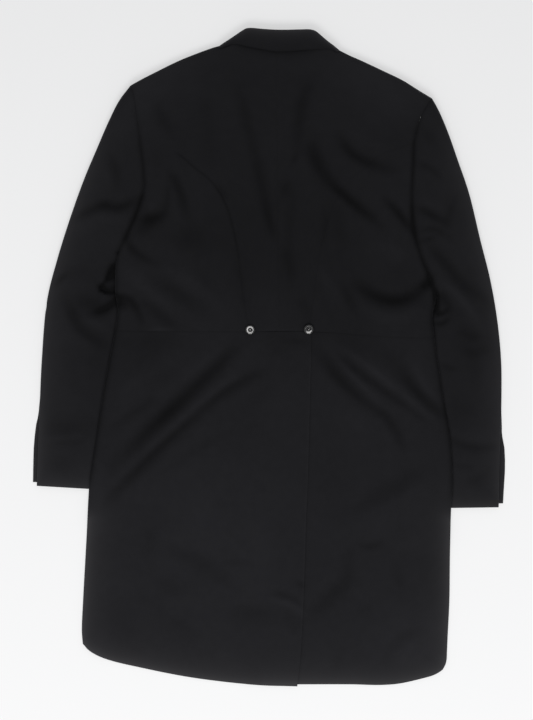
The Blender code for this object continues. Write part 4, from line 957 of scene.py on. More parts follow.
def top_lay(x, y, roll=None):
    """The height of the top cloth of the body, and the painted shade and painted highlight on it."""
    x = np.asarray(x, dtype=float)
    y = np.asarray(y, dtype=float)
    share = body_round(x, y) if roll is None else roll
    rise = rise_at(y)
    lay = rise * covered(x, y) + FLOOR_SAG * (1.0 - covered(x, y))
    lay = lay - neck_sag(x, y)
    above = creased(BACK_FOLDS + SLEEVE_FOLDS, x, y)
    below = creased(TAIL_FOLDS, x, y)
    drop = np.where(y > WAIST_LEVEL, above[0], below[0])
    tone = np.where(y > WAIST_LEVEL, above[1], below[1]) + broad_shade(x, y)
    off_waist = smoothstep(np.abs(y - FOLDS_PAUSE_LEVEL) / FOLDS_PAUSE)
    low = HALF_CLOTH + sleeve_lift(x, y)
    high = low + lay * (1.0 + share) / 2 - drop * off_waist * share**2
    high = high + cockle(x, y) * share**2
    floor = np.maximum(under_height(x, y, -1), under_height(x, y, 1)) + CLOTH + LAYERS_APART
    is_open = smoothstep((0.5 - covered(x, y)) / 0.5)
    floor = floor * (1.0 - is_open) + HALF_CLOTH * is_open
    high = np.where(share > 0.97, np.maximum(high, floor), high)
    edge = low + lay / 2 + EDGE_HALF_GAP
    return np.maximum(high, np.where(share < 0.05, edge, high)), tone


def pressed_seam(lines, x, y, width, depth, dark):
    """The groove of a pressed seam: how far it sinks, and how much painted shade lies in it."""
    shape = np.exp(-((nearest_to(lines, x, y) / width) ** 2))
    return depth * shape, dark * shape


SIDE_SHADE = 0.36
SIDE_SHADE_WIDE = 5.0
LEFT_SHADE_FOOT = -215
RIGHT_SHADE_FOOT = -240
SHADE_FOOT_FADE = 30.0
TAIL_SHADE_MORE = 0.1
TAIL_SHADE_TOP = 20.0
TAIL_SHADE_FADE = 40.0


def side_shade(x, y):
    """The sides of the body lie in the shade where the sleeves touch them."""
    left = np.exp(-((distance_to(BODY_EDGES[0], x, y) / SIDE_SHADE_WIDE) ** 2))
    left = left * smoothstep((y - LEFT_SHADE_FOOT) / SHADE_FOOT_FADE)
    right = np.exp(-((distance_to(BODY_EDGES[1], x, y) / SIDE_SHADE_WIDE) ** 2))
    right = right * smoothstep((y - RIGHT_SHADE_FOOT) / SHADE_FOOT_FADE)
    more = TAIL_SHADE_MORE * smoothstep((TAIL_SHADE_TOP - y) / TAIL_SHADE_FADE)
    return (SIDE_SHADE + more) * (left + right)


WAIST_LINE = np.column_stack([np.linspace(-260, 280, 60), waist_y(np.linspace(-260, 280, 60))])
REACH_SHARES = close_start(300.0, SHOWN_STEP) / 300.0
UNDER_SHARES = np.linspace(0.0, 1.0, 26)[1:]
ROUND_SHARES = np.array([0.78, 0.56, 0.36, 0.2, 0.08])
DOWN_SHARES = close_both(530.0, SHOWN_STEP) / 530.0
WAIST_GROOVE = {"width": 1.8, "depth": 0.2, "dark": 0.1}

for side, name, edge, hem, cut, area, rests_on in (
    (-1, "tail_left", LEFT_SIDE, LEFT_HEM, LEFT_CUT, 0.225, ["floor", "wool_tail_right"]),
    (1, "tail_right", RIGHT_SIDE, RIGHT_HEM, RIGHT_CUT, 0.187, ["floor"]),
):
    hem_line = edge_line(hem)
    hem_order = np.argsort(hem_line[:, 0])
    inward = -side
    side_top = waist_y(edge[WAIST_ROW].x)
    grid = []
    folds = []
    rims = []
    for share in DOWN_SHARES:
        corner_y = side_top + (edge[-1].y - side_top) * share
        fold_x = float(x_at(edge, corner_y))
        radius = float(rise_at(corner_y)) / 2
        vent_y = VENT_TOP + (VENT_EDGE[-1].y - VENT_TOP) * share
        start_x = float(x_at(VENT_EDGE, vent_y)) - (VENT_LAP if side > 0 else 0.0)
        x = start_x + (fold_x + inward * radius - start_x) * REACH_SHARES
        x = np.concatenate([x, fold_x + inward * radius * ROUND_SHARES])
        end_y = np.interp(x, hem_line[hem_order, 0], hem_line[hem_order, 1])
        y = waist_y(x) - SEAM_HALF_GAP
        y = y + (end_y - y) * share
        roll = round_share(np.abs(x - fold_x), radius)
        z, tone = top_lay(x, y, roll)
        nearness = 1.0 - smoothstep((VENT_TOP - y) / VENT_TOP_FADE)
        vent_x = x_at(VENT_EDGE, y)
        if side < 0:
            z = z + (TAIL_STEP - nearness) * smoothstep((x - vent_x + LAP_STEP_LEFT) / LAP_STEP_FADE)
        else:
            z = z - nearness * smoothstep((vent_x + LAP_STEP_RIGHT - x) / LAP_STEP_FADE)
        # Painted shade along the waist seam and the body's sides joins the folds' painted shade.
        sink, dark = pressed_seam((WAIST_LINE,), x, y, **WAIST_GROOVE)
        dark = dark + side_shade(x, y)
        # Painted highlights along the hems and the lower sides.
        rim = edge_highlight(x, y, HIGHLIT_EDGES)
        if side < 0:
            # A painted highlight along the vent edge of the left tail.
            painted_light = VENT_HIGHLIGHT * np.exp(-(((vent_x - x) / VENT_HIGHLIGHT_WIDE) ** 2))
            rim = np.maximum(rim, painted_light * smoothstep((20.0 - y) / 40.0))
        row = np.column_stack([x, y, z - sink])
        lifted = HALF_CLOTH + float(sleeve_lift(fold_x, corner_y))
        middle = np.array([[fold_x, corner_y, lifted + radius]])
        cut_x = float(x_at(cut, side_top + (cut[-1].y - side_top) * share))
        stops = fold_x + inward * radius * ROUND_SHARES[::-1]
        stops = np.append(stops, fold_x + inward * radius)
        stops = np.append(stops, stops[-1] + (cut_x - stops[-1]) * UNDER_SHARES)
        part = (stops - fold_x) / (cut_x - fold_x)
        y = waist_y(stops) - SEAM_HALF_GAP
        end_y = edge[-1].y + (cut[-1].y - edge[-1].y) * part
        y = y + (end_y - y) * share
        roll = round_share(np.abs(stops - fold_x), radius)
        under = np.column_stack([stops, y, bottom_height(stops, y, side, roll)])
        grid.append(np.vstack([row, middle, under]))
        past = np.linspace(1.0, 0.0, len(under) + 1) ** 3
        folds.append(np.concatenate([tone + dark, (tone + dark)[-1] * past]))
        rims.append(np.concatenate([rim, rim[-1] * past]))
    cut_cloth(name, np.array(grid), np.array(folds), np.array(rims))

# The sleeves are two-piece and pressed flat: the top sleeve lies on the floor and the under sleeve
# shows, with a seam along each edge. The cuffs are vented at the hind edge, where the lower layer
# stands out, and the inner edges are tucked under the body.

SLEEVE_TUCK_RISE = 1.85
CUFF_STEP = 6.0
ARMHOLES = (LEFT_ARM[::6], RIGHT_ARM[::6])


def armhole_shown(x, y):
    """The armhole seams' grooves and their painted shade lie hidden at the shoulders and show more towards
    the armpits.
    """
    left = np.asarray(x) < 0
    shown = 0.25 + 0.75 * smoothstep((np.where(left, 415.0, 393.0) - y) / np.where(left, 95.0, 40.0))
    more = np.where(left, 0.0, 0.2) * smoothstep((353.0 - y) / 25.0)
    return shown * (1.0 + more * smoothstep((y - 240.0) / 60.0))


# Where each inner edge is tucked in, by height: how wide the tuck is, then its deepest part.
LEFT_RECESS = ((-60, 60, 165), (4, 4, 2), (98, 104, 112, 122, 140, 159), (12, 28, 28, 20, 10, 0))
RIGHT_RECESS = ((-40, 0, 60, 75, 88, 97), (4, 4, 5, 8, 5, 3), (66, 70, 97, 110), (0, 5, 5, 0))

# How far the lower layer stands out at each level where the cuff's vent opens.
LEFT_VENT = ((-205, -164, -145, -126, -107, -88, -68, -55), (7.0, 7.6, 7.8, 7.0, 5.4, 1.4, 0.2, 0.0))
RIGHT_VENT = (
    (-239, -221, -202, -183, -164, -145, -126, -107, -88, -75),
    (7.9, 8.4, 9.0, 9.8, 9.5, 8.0, 3.9, 1.8, 0.3, 0.0),
)

# The groove that each armhole seam is pressed into: how wide, how deep and how much painted shade it
# carries.
ARMHOLE_GROOVE = {"width": 4.2, "depth": 1.3, "dark": 0.44}
SLEEVE_ROWS = 100
ROWS_CROWD = 1.15
HOLE_SPLIT = 0.4
HOLE_SPARE = 12.0
PIT_STEP = 6.0
HEAD_REACH = 0.94
REACH_LEAST = 0.5
REACH_MOST = 0.9
UNDER_SIDE = 3.0
COLUMN_SHARES = close_start(140.0, SHOWN_STEP) / 140.0
HOLE_BLEND = 95.0


def columns_to(reach):
    """Columns across a sleeve: close at the outer edge, then even, then five from the reach on."""
    return np.concatenate([COLUMN_SHARES * reach, np.linspace(reach, 1.0, 6)[1:]])


# The number in each row is the share of the outer edge that lies beside the armhole.
for side, word, rings, arm, outer_line, inner_line, edge, pit_share, recess, vent_table in (
    (
        -1, "left", LEFT_SLEEVE, LEFT_ARM, LEFT_OUTER, LEFT_INNER, LEFT_SIDE, 0.41,
        LEFT_RECESS, LEFT_VENT,
    ),
    (
        1, "right", RIGHT_SLEEVE, RIGHT_ARM, RIGHT_OUTER, RIGHT_INNER, RIGHT_SIDE, 0.46,
        RIGHT_RECESS, RIGHT_VENT,
    ),
):
    whole = seams["sleeve_hole", side]
    arm_up_length = line_length(bent_line(LEFT_ARM_UP if side < 0 else RIGHT_ARM_UP))
    split = arm_up_length + HOLE_SPLIT * (line_length(whole) - arm_up_length - HOLE_SPARE)
    hole = along(whole, columns_to(HEAD_REACH) * split)
    length = line_length(outer_line)
    near = close_start(pit_share * length, PIT_STEP)
    pit = along(whole, split + (line_length(whole) - split) * near / near[-1])
    rest = np.linspace(pit_share, 1.0, SLEEVE_ROWS)[1:]
    stops = np.concatenate([near, rest * length])
    shares = stops / length
    outer = along(outer_line, stops)
    outer[0] = hole[0]
    below = np.linspace(0.0, 1.0, SLEEVE_ROWS) ** ROWS_CROWD * line_length(inner_line)
    inner = np.vstack([pit, along(inner_line, below)[1:]])
    head = weights_along(hole)
    spacing = []
    for j in range(len(outer)):
        trial = np.linspace(0.3, 1.0, 141)[:, None]
        spots = outer[j] + (inner[j] - outer[j]) * trial
        clear = (spots[:, 0] - x_at(edge, spots[:, 1])) * side > -UNDER_SIDE
        reach = float(trial[clear][-1, 0]) if clear.any() else 0.6
        reach = min(max(reach, REACH_LEAST), REACH_MOST)
        share = float(smoothstep(j / (len(pit) - 1.0)))
        spacing.append(head * (1.0 - share) + columns_to(reach) * share)
    cuff = outer[-1] + (inner[-1] - outer[-1]) * spacing[-1][:, None]
    plan = patch(hole, cuff, outer, inner, spacing)
    row_rise = np.interp(shares, np.linspace(0.0, 1.0, len(rings)), [r.rise for r in rings])
    x = plan[..., 0]
    y = plan[..., 1]
    own = row_rise[:, None] + np.zeros_like(x)
    near_hole = 1.0 - smoothstep(distance_to(arm[::4], x, y) / HOLE_BLEND)
    own = own * (1.0 - near_hole) + rise_at(y) * near_hole
    outside = (x - x_at(edge, y)) * side
    reach = np.interp(y, recess[0], recess[1])
    tuck = (1.0 - smoothstep((outside + 4.0) / (reach + 4.0))) * smoothstep((pit[-1][1] - y) / 12.0)
    deep = smoothstep((np.interp(y, recess[2], recess[3]) - outside) / 5.0)
    deep = deep * smoothstep((outside + 1.0) / 2.0)
    deep = deep * smoothstep((y - recess[2][0]) / 5.0)
    tuck = np.maximum(tuck, 0.8 * deep)
    if side < 0:
        ridge = np.exp(-(((y - 117.0 - 0.2 * (x + 250.0)) / 5.0) ** 2)) * smoothstep((x + 266.0) / 8.0)
        deep = deep * (1.0 - 0.75 * ridge)
    own = own * (1.0 - tuck) + SLEEVE_TUCK_RISE * tuck
    shoulder_line = bent_line(LEFT_SHOULDER if side < 0 else RIGHT_SHOULDER, 4)
    nearest = nearest_to((outer_line[::6], inner_line[::4], shoulder_line), x, y)
    roll = round_share(nearest, own / 2)
    roll = roll + (1.0 - roll) * tuck
    drop, tone = creased(BACK_FOLDS + SLEEVE_FOLDS, x, y)
    tone = tone + broad_shade(x, y)
    upper = HALF_CLOTH + own * (1.0 + roll) / 2 - drop * roll**2 * (1.0 - tuck)
    upper = upper + cockle(x, y) * roll**2 * (1.0 - tuck)
    sink, dark = pressed_seam(ARMHOLES, x, y, **ARMHOLE_GROOVE)
    dark = dark * armhole_shown(x, y)
    upper = upper - sink * roll
    upper = np.maximum(upper, HALF_CLOTH + np.minimum(own / 2 + EDGE_HALF_GAP, own))
    upper = np.maximum(upper, HALF_CLOTH + SLEEVE_TUCK_RISE)
    cuff_line = np.array([outer[-1], inner[-1]])
    # Painted highlights along the outer edge and the cuff, fading towards the shoulder.
    rim = edge_highlight(x, y, ((outer_line[::6], 0.46 if side < 0 else 0.34), (cuff_line, 0.5)))
    rim = rim * smoothstep((430.0 - y) / 160.0)
    # Painted shade: the folds, the armhole groove, and the recess where the inner edge is tucked under the
    # body.
    shade = tone + dark + 0.3 * tuck * np.exp(-((outside / 4.0) ** 2)) + 0.5 * deep
    grid = with_height(plan, upper)
    cut_cloth("under_sleeve_" + word, grid, shade, rim)
    vent = np.interp(outer[:, 1], *vent_table)
    lower_plan = plan.copy()
    lower_plan[..., 0] = lower_plan[..., 0] + under_seam_shift(x, y, side)
    width = np.array(spacing)
    lower_plan[..., 0] = lower_plan[..., 0] + side * vent[:, None] * (1.0 - width) ** 3
    near_cuff = np.clip(stops / 40.0 - length / 40.0 + 1.0, 0.0, 1.0)[:, None]
    lower_plan[..., 1] = lower_plan[..., 1] + CUFF_STEP * near_cuff
    opened = np.clip(vent / 3.0, 0.0, 1.0)[:, None] * (1.0 - smoothstep(width / 0.4))
    lower = HALF_CLOTH + own * (1.0 - roll) / 2 * (1.0 - opened)
    lower = np.minimum(lower, HALF_CLOTH + own / 2 - EDGE_HALF_GAP)
    grid = with_height(lower_plan, np.maximum(lower, HALF_CLOTH))
    cut_cloth("top_sleeve_" + word, grid, None, rim)

# The two centre backs meet at the centre seam, and each runs from the neck and the shoulder seam
# down to the waist button. They are cut in the same wool and pressed flat over the seams.

CollarRow = namedtuple("CollarRow", "fold_x fold_y edge_x edge_y seam_x seam_y")

# The seams of the back from the top down, and the neck edges outwards from the centre seam.
CENTRE_SEAM = ((11, 499.5), (11.5, 488), (13, 300), (16, 40))
LEFT_SIDE_SEAM = (
    (-204.5, 340), (-146, 323), (-119, 301), (-92, 279), (-71, 248), (-58, 208), (-49.5, 165), (-39, 80),
    (-31, 40),
)
RIGHT_SIDE_SEAM = (
    (230, 338), (180, 323), (153, 301), (126, 279), (105, 248), (91, 208), (81, 165), (69, 80), (63, 40),
)
LEFT_NECK = ((11, 499.5), (-20, 499), (-45, 498), (-66, 496))
RIGHT_NECK = ((11, 499.5), (50, 499), (85, 496.5), (103, 490))

# The collar from left to right: its fold, the edge of its fall, and its seam to the neck.
COLLAR = rows_of(
    CollarRow,
    (-80.0, 491.6, -76.0, 489.6, -68.0, 494.0), (-72.3, 497.0, -67.5, 493.6, -62.0, 497.2),
    (-62.8, 503.1, -57.0, 496.2, -55.0, 499.6), (-53.3, 509.4, -46.0, 495.0, -48.0, 501.0),
    (-43.7, 515.9, -36.6, 492.5, -41.0, 501.6), (-36.5, 520.1, -31.0, 491.2, -34.0, 502.0),
    (-29.4, 521.1, -24.0, 489.8, -28.0, 502.2), (-10.3, 519.5, -9.0, 487.2, -10.0, 502.5),
    (8.7, 518.3, 8.0, 484.4, 8.0, 502.5), (28.0, 518.1, 28.0, 484.2, 28.0, 502.4),
    (48.0, 518.6, 48.0, 485.7, 48.0, 502.0), (66.0, 518.6, 66.0, 487.0, 68.0, 501.2),
    (73.9, 516.0, 75.0, 487.7, 74.0, 500.6), (83.5, 508.2, 84.0, 488.2, 83.0, 499.5),
    (93.0, 500.2, 92.0, 488.2, 92.0, 497.0), (102.6, 493.1, 100.0, 486.8, 100.0, 493.0),
    (111.5, 485.6, 107.5, 482.8, 104.0, 488.6),
)
SEAM_LINES = tuple(bent_line(line, 5) for line in (CENTRE_SEAM, LEFT_SIDE_SEAM, RIGHT_SIDE_SEAM))
FALL_EDGE = bent_line([(row.edge_x, row.edge_y) for row in COLLAR], 5)
CENTRE_GROOVE = {"width": 1.6, "depth": 0.12, "dark": 0.05}
LEFT_SIDE_GROOVE = {"width": 2.4, "depth": 0.4, "dark": 0.26}
RIGHT_SIDE_GROOVE = {"width": 1.8, "depth": 0.15, "dark": 0.06}
FALL_SHADE = 0.5
FALL_SHADE_WIDE = 4.8


def back_lay(plan):
    """The height, the painted shade and the painted highlight along the rim of a piece of the back."""
    x = plan[..., 0]
    y = plan[..., 1]
    z, tone = top_lay(x, y)
    roll = body_round(x, y)
    shown = smoothstep((x + 153.0) / 14.0) * (0.4 + 0.6 * smoothstep((y - 140.0) / 50.0))
    for lines, groove, share in (
        (SEAM_LINES[1:2], LEFT_SIDE_GROOVE, shown), (SEAM_LINES[0:1], CENTRE_GROOVE, 1.0),
        (SEAM_LINES[2:], RIGHT_SIDE_GROOVE, 1.0), (ARMHOLES, ARMHOLE_GROOVE, armhole_shown(x, y)),
        ((WAIST_LINE,), WAIST_GROOVE, 1.0),
    ):
        sink, shade = pressed_seam(lines, x, y, **groove)
        z = z - sink * roll * share
        tone = tone + shade * share
    # A painted shadow on the backs below the edge of the collar's fall.
    under_fall = smoothstep((x + 64.0) / 28.0) * (1.0 - 0.9 * smoothstep((x - 40.0) / 65.0))
    shade = np.exp(-((distance_to(FALL_EDGE, x, y) / FALL_SHADE_WIDE) ** 1.3))
    tone = tone + FALL_SHADE * under_fall * shade
    tone = tone + side_shade(x, y)
    # Painted highlights along the shoulders.
    return with_height(plan, z), tone, edge_highlight(x, y, ((BODY_EDGES[2], 0.12), (BODY_EDGES[3], 0.1)))


for side, arm_up, side_seam in ((-1, LEFT_ARM_UP, LEFT_SIDE_SEAM), (1, RIGHT_ARM_UP, RIGHT_SIDE_SEAM)):
    whole = seams["arm", side]
    first = line_length(bent_line(arm_up))
    seams["arm_up", side] = along(whole, close_start(first, SHOWN_STEP))
    seams["arm_low", side] = along(whole, first + close_both(line_length(whole) - first, SHOWN_STEP))
    line = bent_line(side_seam)
    line[0] = seams["arm_up", side][-1]
    seams["side_seam", side] = along(line, close_both(line_length(line), SHOWN_STEP))

# How far down the centre seam the rows lie that start at the upper part of the armhole.
YOKE_DROP = 120.0

for side, word, neck in ((-1, "left", LEFT_NECK), (1, "right", RIGHT_NECK)):
    line = np.vstack([bent_line(neck), seams["shoulder", side][1:]])
    top = along(line, close_both(line_length(line), SHOWN_STEP))
    outer = np.vstack([seams["arm_up", side], seams["side_seam", side][1:]])
    line = bent_line(CENTRE_SEAM)
    first = weights_along(seams["arm_up", side]) * YOKE_DROP
    later = YOKE_DROP + weights_along(seams["side_seam", side])[1:] * (line_length(line) - YOKE_DROP)
    centre = along(line, np.concatenate([first, later]))
    grid, fold, rim = back_lay(waist_panel(top, centre, outer))
    cut_cloth("back_" + word, grid, fold, rim)

# The side backs fill the space between the curved side back seams and the sides, from the
# armhole down to the waist seam, and turn under at the sides.

for side, word, edge in ((-1, "left", LEFT_SIDE), (1, "right", RIGHT_SIDE)):
    top = seams["arm_low", side]
    inner = seams["side_seam", side]
    levels = top[-1][1] + (waist_y(edge[WAIST_ROW].x) - top[-1][1]) * weights_along(inner)
    outer = np.column_stack([x_at(edge, levels), levels])
    grid, fold, rim = back_lay(waist_panel(top, inner, outer))
    cut_cloth("side_back_" + word, grid, fold, rim)

# The collar is cut on the cross and folded over its own stand: the fall lies on the backs, its edge throws
# a thin shadow, deepened by a painted shadow on the backs, and the stand goes down inside it to the neck
# seam.

COLLAR_LEVEL = 497.0
COLLAR_END_DROP = 2.5
COLLAR_END_SHARE = 0.16
COLLAR_WAVE = 0.35
FALL_ABOVE = 2.2
STAND_BELOW = 0.2
FALL_STOPS = (0.0, 0.02, 0.05, 0.1, 0.2, 0.3, 0.4, 0.5, 0.6, 0.7, 0.8, 0.88, 0.94)
STAND_STOPS = (0.2, 0.4, 0.6, 0.8, 1.0)

shares = np.linspace(0.0, 1.0, 91)
traced = []
for first in (0, 2, 4):
    line = bent_line([row[first : first + 2] for row in COLLAR], 12)
    traced.append(along(line, shares * line_length(line)))
fold_at, fall_at, seam_at = traced
base = HALF_CLOTH + rise_at(np.full(len(shares), COLLAR_LEVEL))
end_drop = COLLAR_END_DROP * (1.0 - smoothstep(np.minimum(shares, 1.0 - shares) / COLLAR_END_SHARE))
stand_z = base - STAND_BELOW - end_drop
fall_z = base + FALL_ABOVE - end_drop * 0.3
turn = (fall_z - stand_z) / 2
grid = []
fold = []
rim = []
for at, fall, seam, low, high, radius in zip(fold_at, fall_at, seam_at, stand_z, fall_z, turn):
    row = []
    inward = (fall - at) / np.linalg.norm(fall - at)
    heart = at + inward * radius
    # Painted shade along the edge of the fall, and a painted highlight that grows towards the turn of the
    # fold.
    for share in FALL_STOPS:
        spot = fall + (heart - fall) * share
        wave = COLLAR_WAVE * math.sin(spot[0] * 0.09 + 1.2) * math.sin(share * math.pi)
        row.append((spot[0], spot[1], high + wave - 0.25 * (1.0 - min(share / 0.05, 1.0))))
        fold.append(0.35 * math.exp(-((share / 0.05) ** 2)))
        rim.append(0.35 * math.exp(-(1.0 - share) * 4.0))
    # The turn of the fold carries a painted highlight.
    for angle in range(90, -91, -15):
        spot = heart - inward * radius * math.cos(math.radians(angle))
        row.append((spot[0], spot[1], (low + high) / 2 + radius * math.sin(math.radians(angle))))
        fold.append(0.0)
        rim.append(0.5)
    for share in STAND_STOPS:
        spot = heart + (seam - heart) * share
        row.append((spot[0], spot[1], low))
        fold.append(0.0)
        rim.append(0.0)
    grid.append(row)

cut_cloth("collar", np.array(grid), np.array(fold), np.array(rim))

# Under the coat each end of the collar and each lapel lie folded back on the forepart, flat on
# the floor. They are faced with the same wool and finished plainly, because nothing shows them.

COLLAR_END_LEVELS = (484.0, 428.0)
COLLAR_END_WIDE = 36.0
COLLAR_END_SLANT = 10.0
LAPEL_FOLD_TOP = 424.0
LAPEL_TIP = 403.0
LAPEL_FOOT_RISE = 6.0
LAPEL_ROWS = 40


def lay_flap(name, near, far, columns):
    """A flap that lies flat on the floor, from its fold to its edge."""
    across = np.linspace(0.0, 1.0, columns)
    plan = near[:, None, :] + (far - near)[:, None, :] * across[None, :, None]
    height = np.full(plan.shape[:2], HALF_CLOTH)
    cut_cloth(name, with_height(plan, height))


for side, word, roll, lapel in (
    (-1, "left", LEFT_ROLL, LEFT_LAPEL_EDGE), (1, "right", RIGHT_ROLL, RIGHT_LAPEL_EDGE),
):
    levels = np.linspace(*COLLAR_END_LEVELS, 15)
    near = np.column_stack([x_at(roll, levels), levels])
    far = near + np.array([side * COLLAR_END_WIDE, -COLLAR_END_SLANT])
    lay_flap("collar_end_" + word, near, far, 11)
    foot = lapel[-1].y
    levels = np.linspace(LAPEL_FOLD_TOP, foot + LAPEL_FOOT_RISE, LAPEL_ROWS)
    near = np.column_stack([x_at(roll, levels), levels])
    tip = np.linspace(LAPEL_TIP, foot, LAPEL_ROWS)
    far = np.column_stack([x_at(lapel, tip), tip])
    lay_flap("lapel_" + word, near, far, 18)

# Polished black horn buttons with four holes: two mark the tops of the tails at the back waist,
# and one closes the front, underneath. Each is sewn on with two bars of black thread.

HORN_PROFILE = (
    (0.80, 0.00), (0.93, 0.08), (0.985, 0.20), (1.00, 0.38), (0.985, 0.56), (0.945, 0.73), (0.88, 0.86),
    (0.80, 0.94), (0.735, 0.983), (0.70, 0.998), (0.685, 1.00), (0.67, 0.9995), (0.54, 0.9935),
    (0.41, 0.988), (0.395, 0.986), (0.375, 0.955), (0.35, 0.88), (0.32, 0.81), (0.21, 0.73),
)
HORN_TURNS = 64
HORN_SHARP = math.radians(40)
HOLE_RADIUS = 1.0
HOLE_REACH = 1.95
WAIST_BUTTON_RADIUS = 8.0
WAIST_BUTTON_THICK = 3.4
FRONT_BUTTON_RADIUS = 10.0
STRAND_RADIUS = 0.2
STRANDS_APART = 0.34
STRAND_ARCH = 0.62
STRAND_SUNK = 0.45
STRAND_STEPS = 12
STRAND_SIDES = 8


def colour_ramp(tree, factor, *stops):
    """A ramp between two colours, each with its place on the factor."""
    ramp = tree.nodes.new("ShaderNodeValToRGB")
    for element, (place, colour) in zip(ramp.color_ramp.elements, stops):
        element.position = place
        element.color = (*colour, 1.0)
    tree.links.new(factor, ramp.inputs["Fac"])
    return ramp.outputs["Color"]


def build_horn():
    """Polished horn: near black, with faint streaks and fine scratches."""
    made, tree, shader = new_material("black_horn", (0.015, 0.015, 0.016))
    place = tree.nodes.new("ShaderNodeTexCoord")
    streak = noise_node(tree, place.outputs["Object"], 420.0, 5.0, 0.6)
    colour = colour_ramp(tree, streak, (0.35, (0.004, 0.004, 0.0045)), (0.75, (0.022, 0.021, 0.021)))
    tree.links.new(colour, shader.inputs["Base Color"])
    scratch = noise_node(tree, place.outputs["Object"], 1500.0, 2.0)
    rough = math_node(tree, "MULTIPLY_ADD", scratch, 0.05, 0.05)
    tree.links.new(rough, shader.inputs["Roughness"])
    set_inputs(shader, {"Coat Weight": 0.15, "Coat Roughness": 0.05})
    return made


def build_thread():
    """Twisted black thread."""
    made, tree, shader = new_material("black_thread", (0.02, 0.02, 0.02))
    place = tree.nodes.new("ShaderNodeTexCoord")
    ply = tree.nodes.new("ShaderNodeTexWave")
    set_inputs(ply, {"Scale": 900.0, "Distortion": 1.0})
    tree.links.new(place.outputs["Object"], ply.inputs["Vector"])
    colour = colour_ramp(tree, ply.outputs["Fac"], (0.0, (0.008, 0.008, 0.009)), (1.0, (0.03, 0.03, 0.032)))
    tree.links.new(colour, shader.inputs["Base Color"])
    bump = tree.nodes.new("ShaderNodeBump")
    bump.inputs["Distance"].default_value = 0.00008
    tree.links.new(ply.outputs["Fac"], bump.inputs["Height"])
    tree.links.new(bump.outputs["Normal"], shader.inputs["Normal"])
    shader.inputs["Roughness"].default_value = 0.6
    return made


HORN = build_horn()
THREAD = build_thread()


def button_place(x, y, low, lean):
    """Takes a button from its own millimetres to its place on the coat, in metres."""
    shift = Matrix.Translation(Vector((x, y, low)) / 1000)
    return shift @ Matrix.Rotation(lean, 4, "X") @ Matrix.Scale(0.001, 4)


def turned_button(name, x, y, low, radius, thick, turned, lean):
    """The horn of one button, turned on a lathe and drilled with four holes."""
    body = bmesh.new()
    rings = []
    for reach, height in HORN_PROFILE:
        ring = []
        for k in range(HORN_TURNS):
            angle = 2 * math.pi * k / HORN_TURNS
            spot = (reach * radius * math.cos(angle), reach * radius * math.sin(angle), height * thick)
            ring.append(body.verts.new(spot))
        rings.append(ring)
    foot = body.verts.new((0.0, 0.0, 0.0))
    crown = body.verts.new((0.0, 0.0, HORN_PROFILE[-1][1] * thick))
    for k in range(HORN_TURNS):
        after = (k + 1) % HORN_TURNS
        body.faces.new((foot, rings[0][after], rings[0][k]))
        body.faces.new((crown, rings[-1][k], rings[-1][after]))
        for lower, upper in zip(rings[:-1], rings[1:]):
            body.faces.new((lower[k], lower[after], upper[after], upper[k]))
    mesh = bpy.data.meshes.new(name)
    body.to_mesh(mesh)
    body.free()
    item = add_object("horn_" + name, mesh)
    drill = bmesh.new()
    spots = []
    for quarter in range(4):
        angle = math.radians(45 + 90 * quarter) + turned
        spots.append((HOLE_REACH * math.cos(angle), HOLE_REACH * math.sin(angle)))
    for hole_x, hole_y in spots:
        bmesh.ops.create_cone(
            drill, cap_ends=True, segments=20, radius1=HOLE_RADIUS, radius2=HOLE_RADIUS,
            depth=thick + 3.0, matrix=Matrix.Translation((hole_x, hole_y, thick / 2)),
        )
    drill_mesh = bpy.data.meshes.new(name + "_drill")
    drill.to_mesh(drill_mesh)
    drill.free()
    cutter = add_object(name + "_drill", drill_mesh)
    cut = item.modifiers.new("holes", "BOOLEAN")
    cut.operation = "DIFFERENCE"
    cut.solver = "EXACT"
    cut.object = cutter
    graph = bpy.context.evaluated_depsgraph_get()
    drilled = bpy.data.meshes.new_from_object(item.evaluated_get(graph))
    item.modifiers.clear()
    bpy.data.objects.remove(cutter, do_unlink=True)
    drilled.transform(button_place(x, y, low, lean))
    drilled.polygons.foreach_set("use_smooth", [True] * len(drilled.polygons))
    drilled.set_sharp_from_angle(angle=HORN_SHARP)
    drilled.materials.clear()
    drilled.materials.append(HORN)
    item.data = drilled
    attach(item, "root")
    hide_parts(name)
    return spots


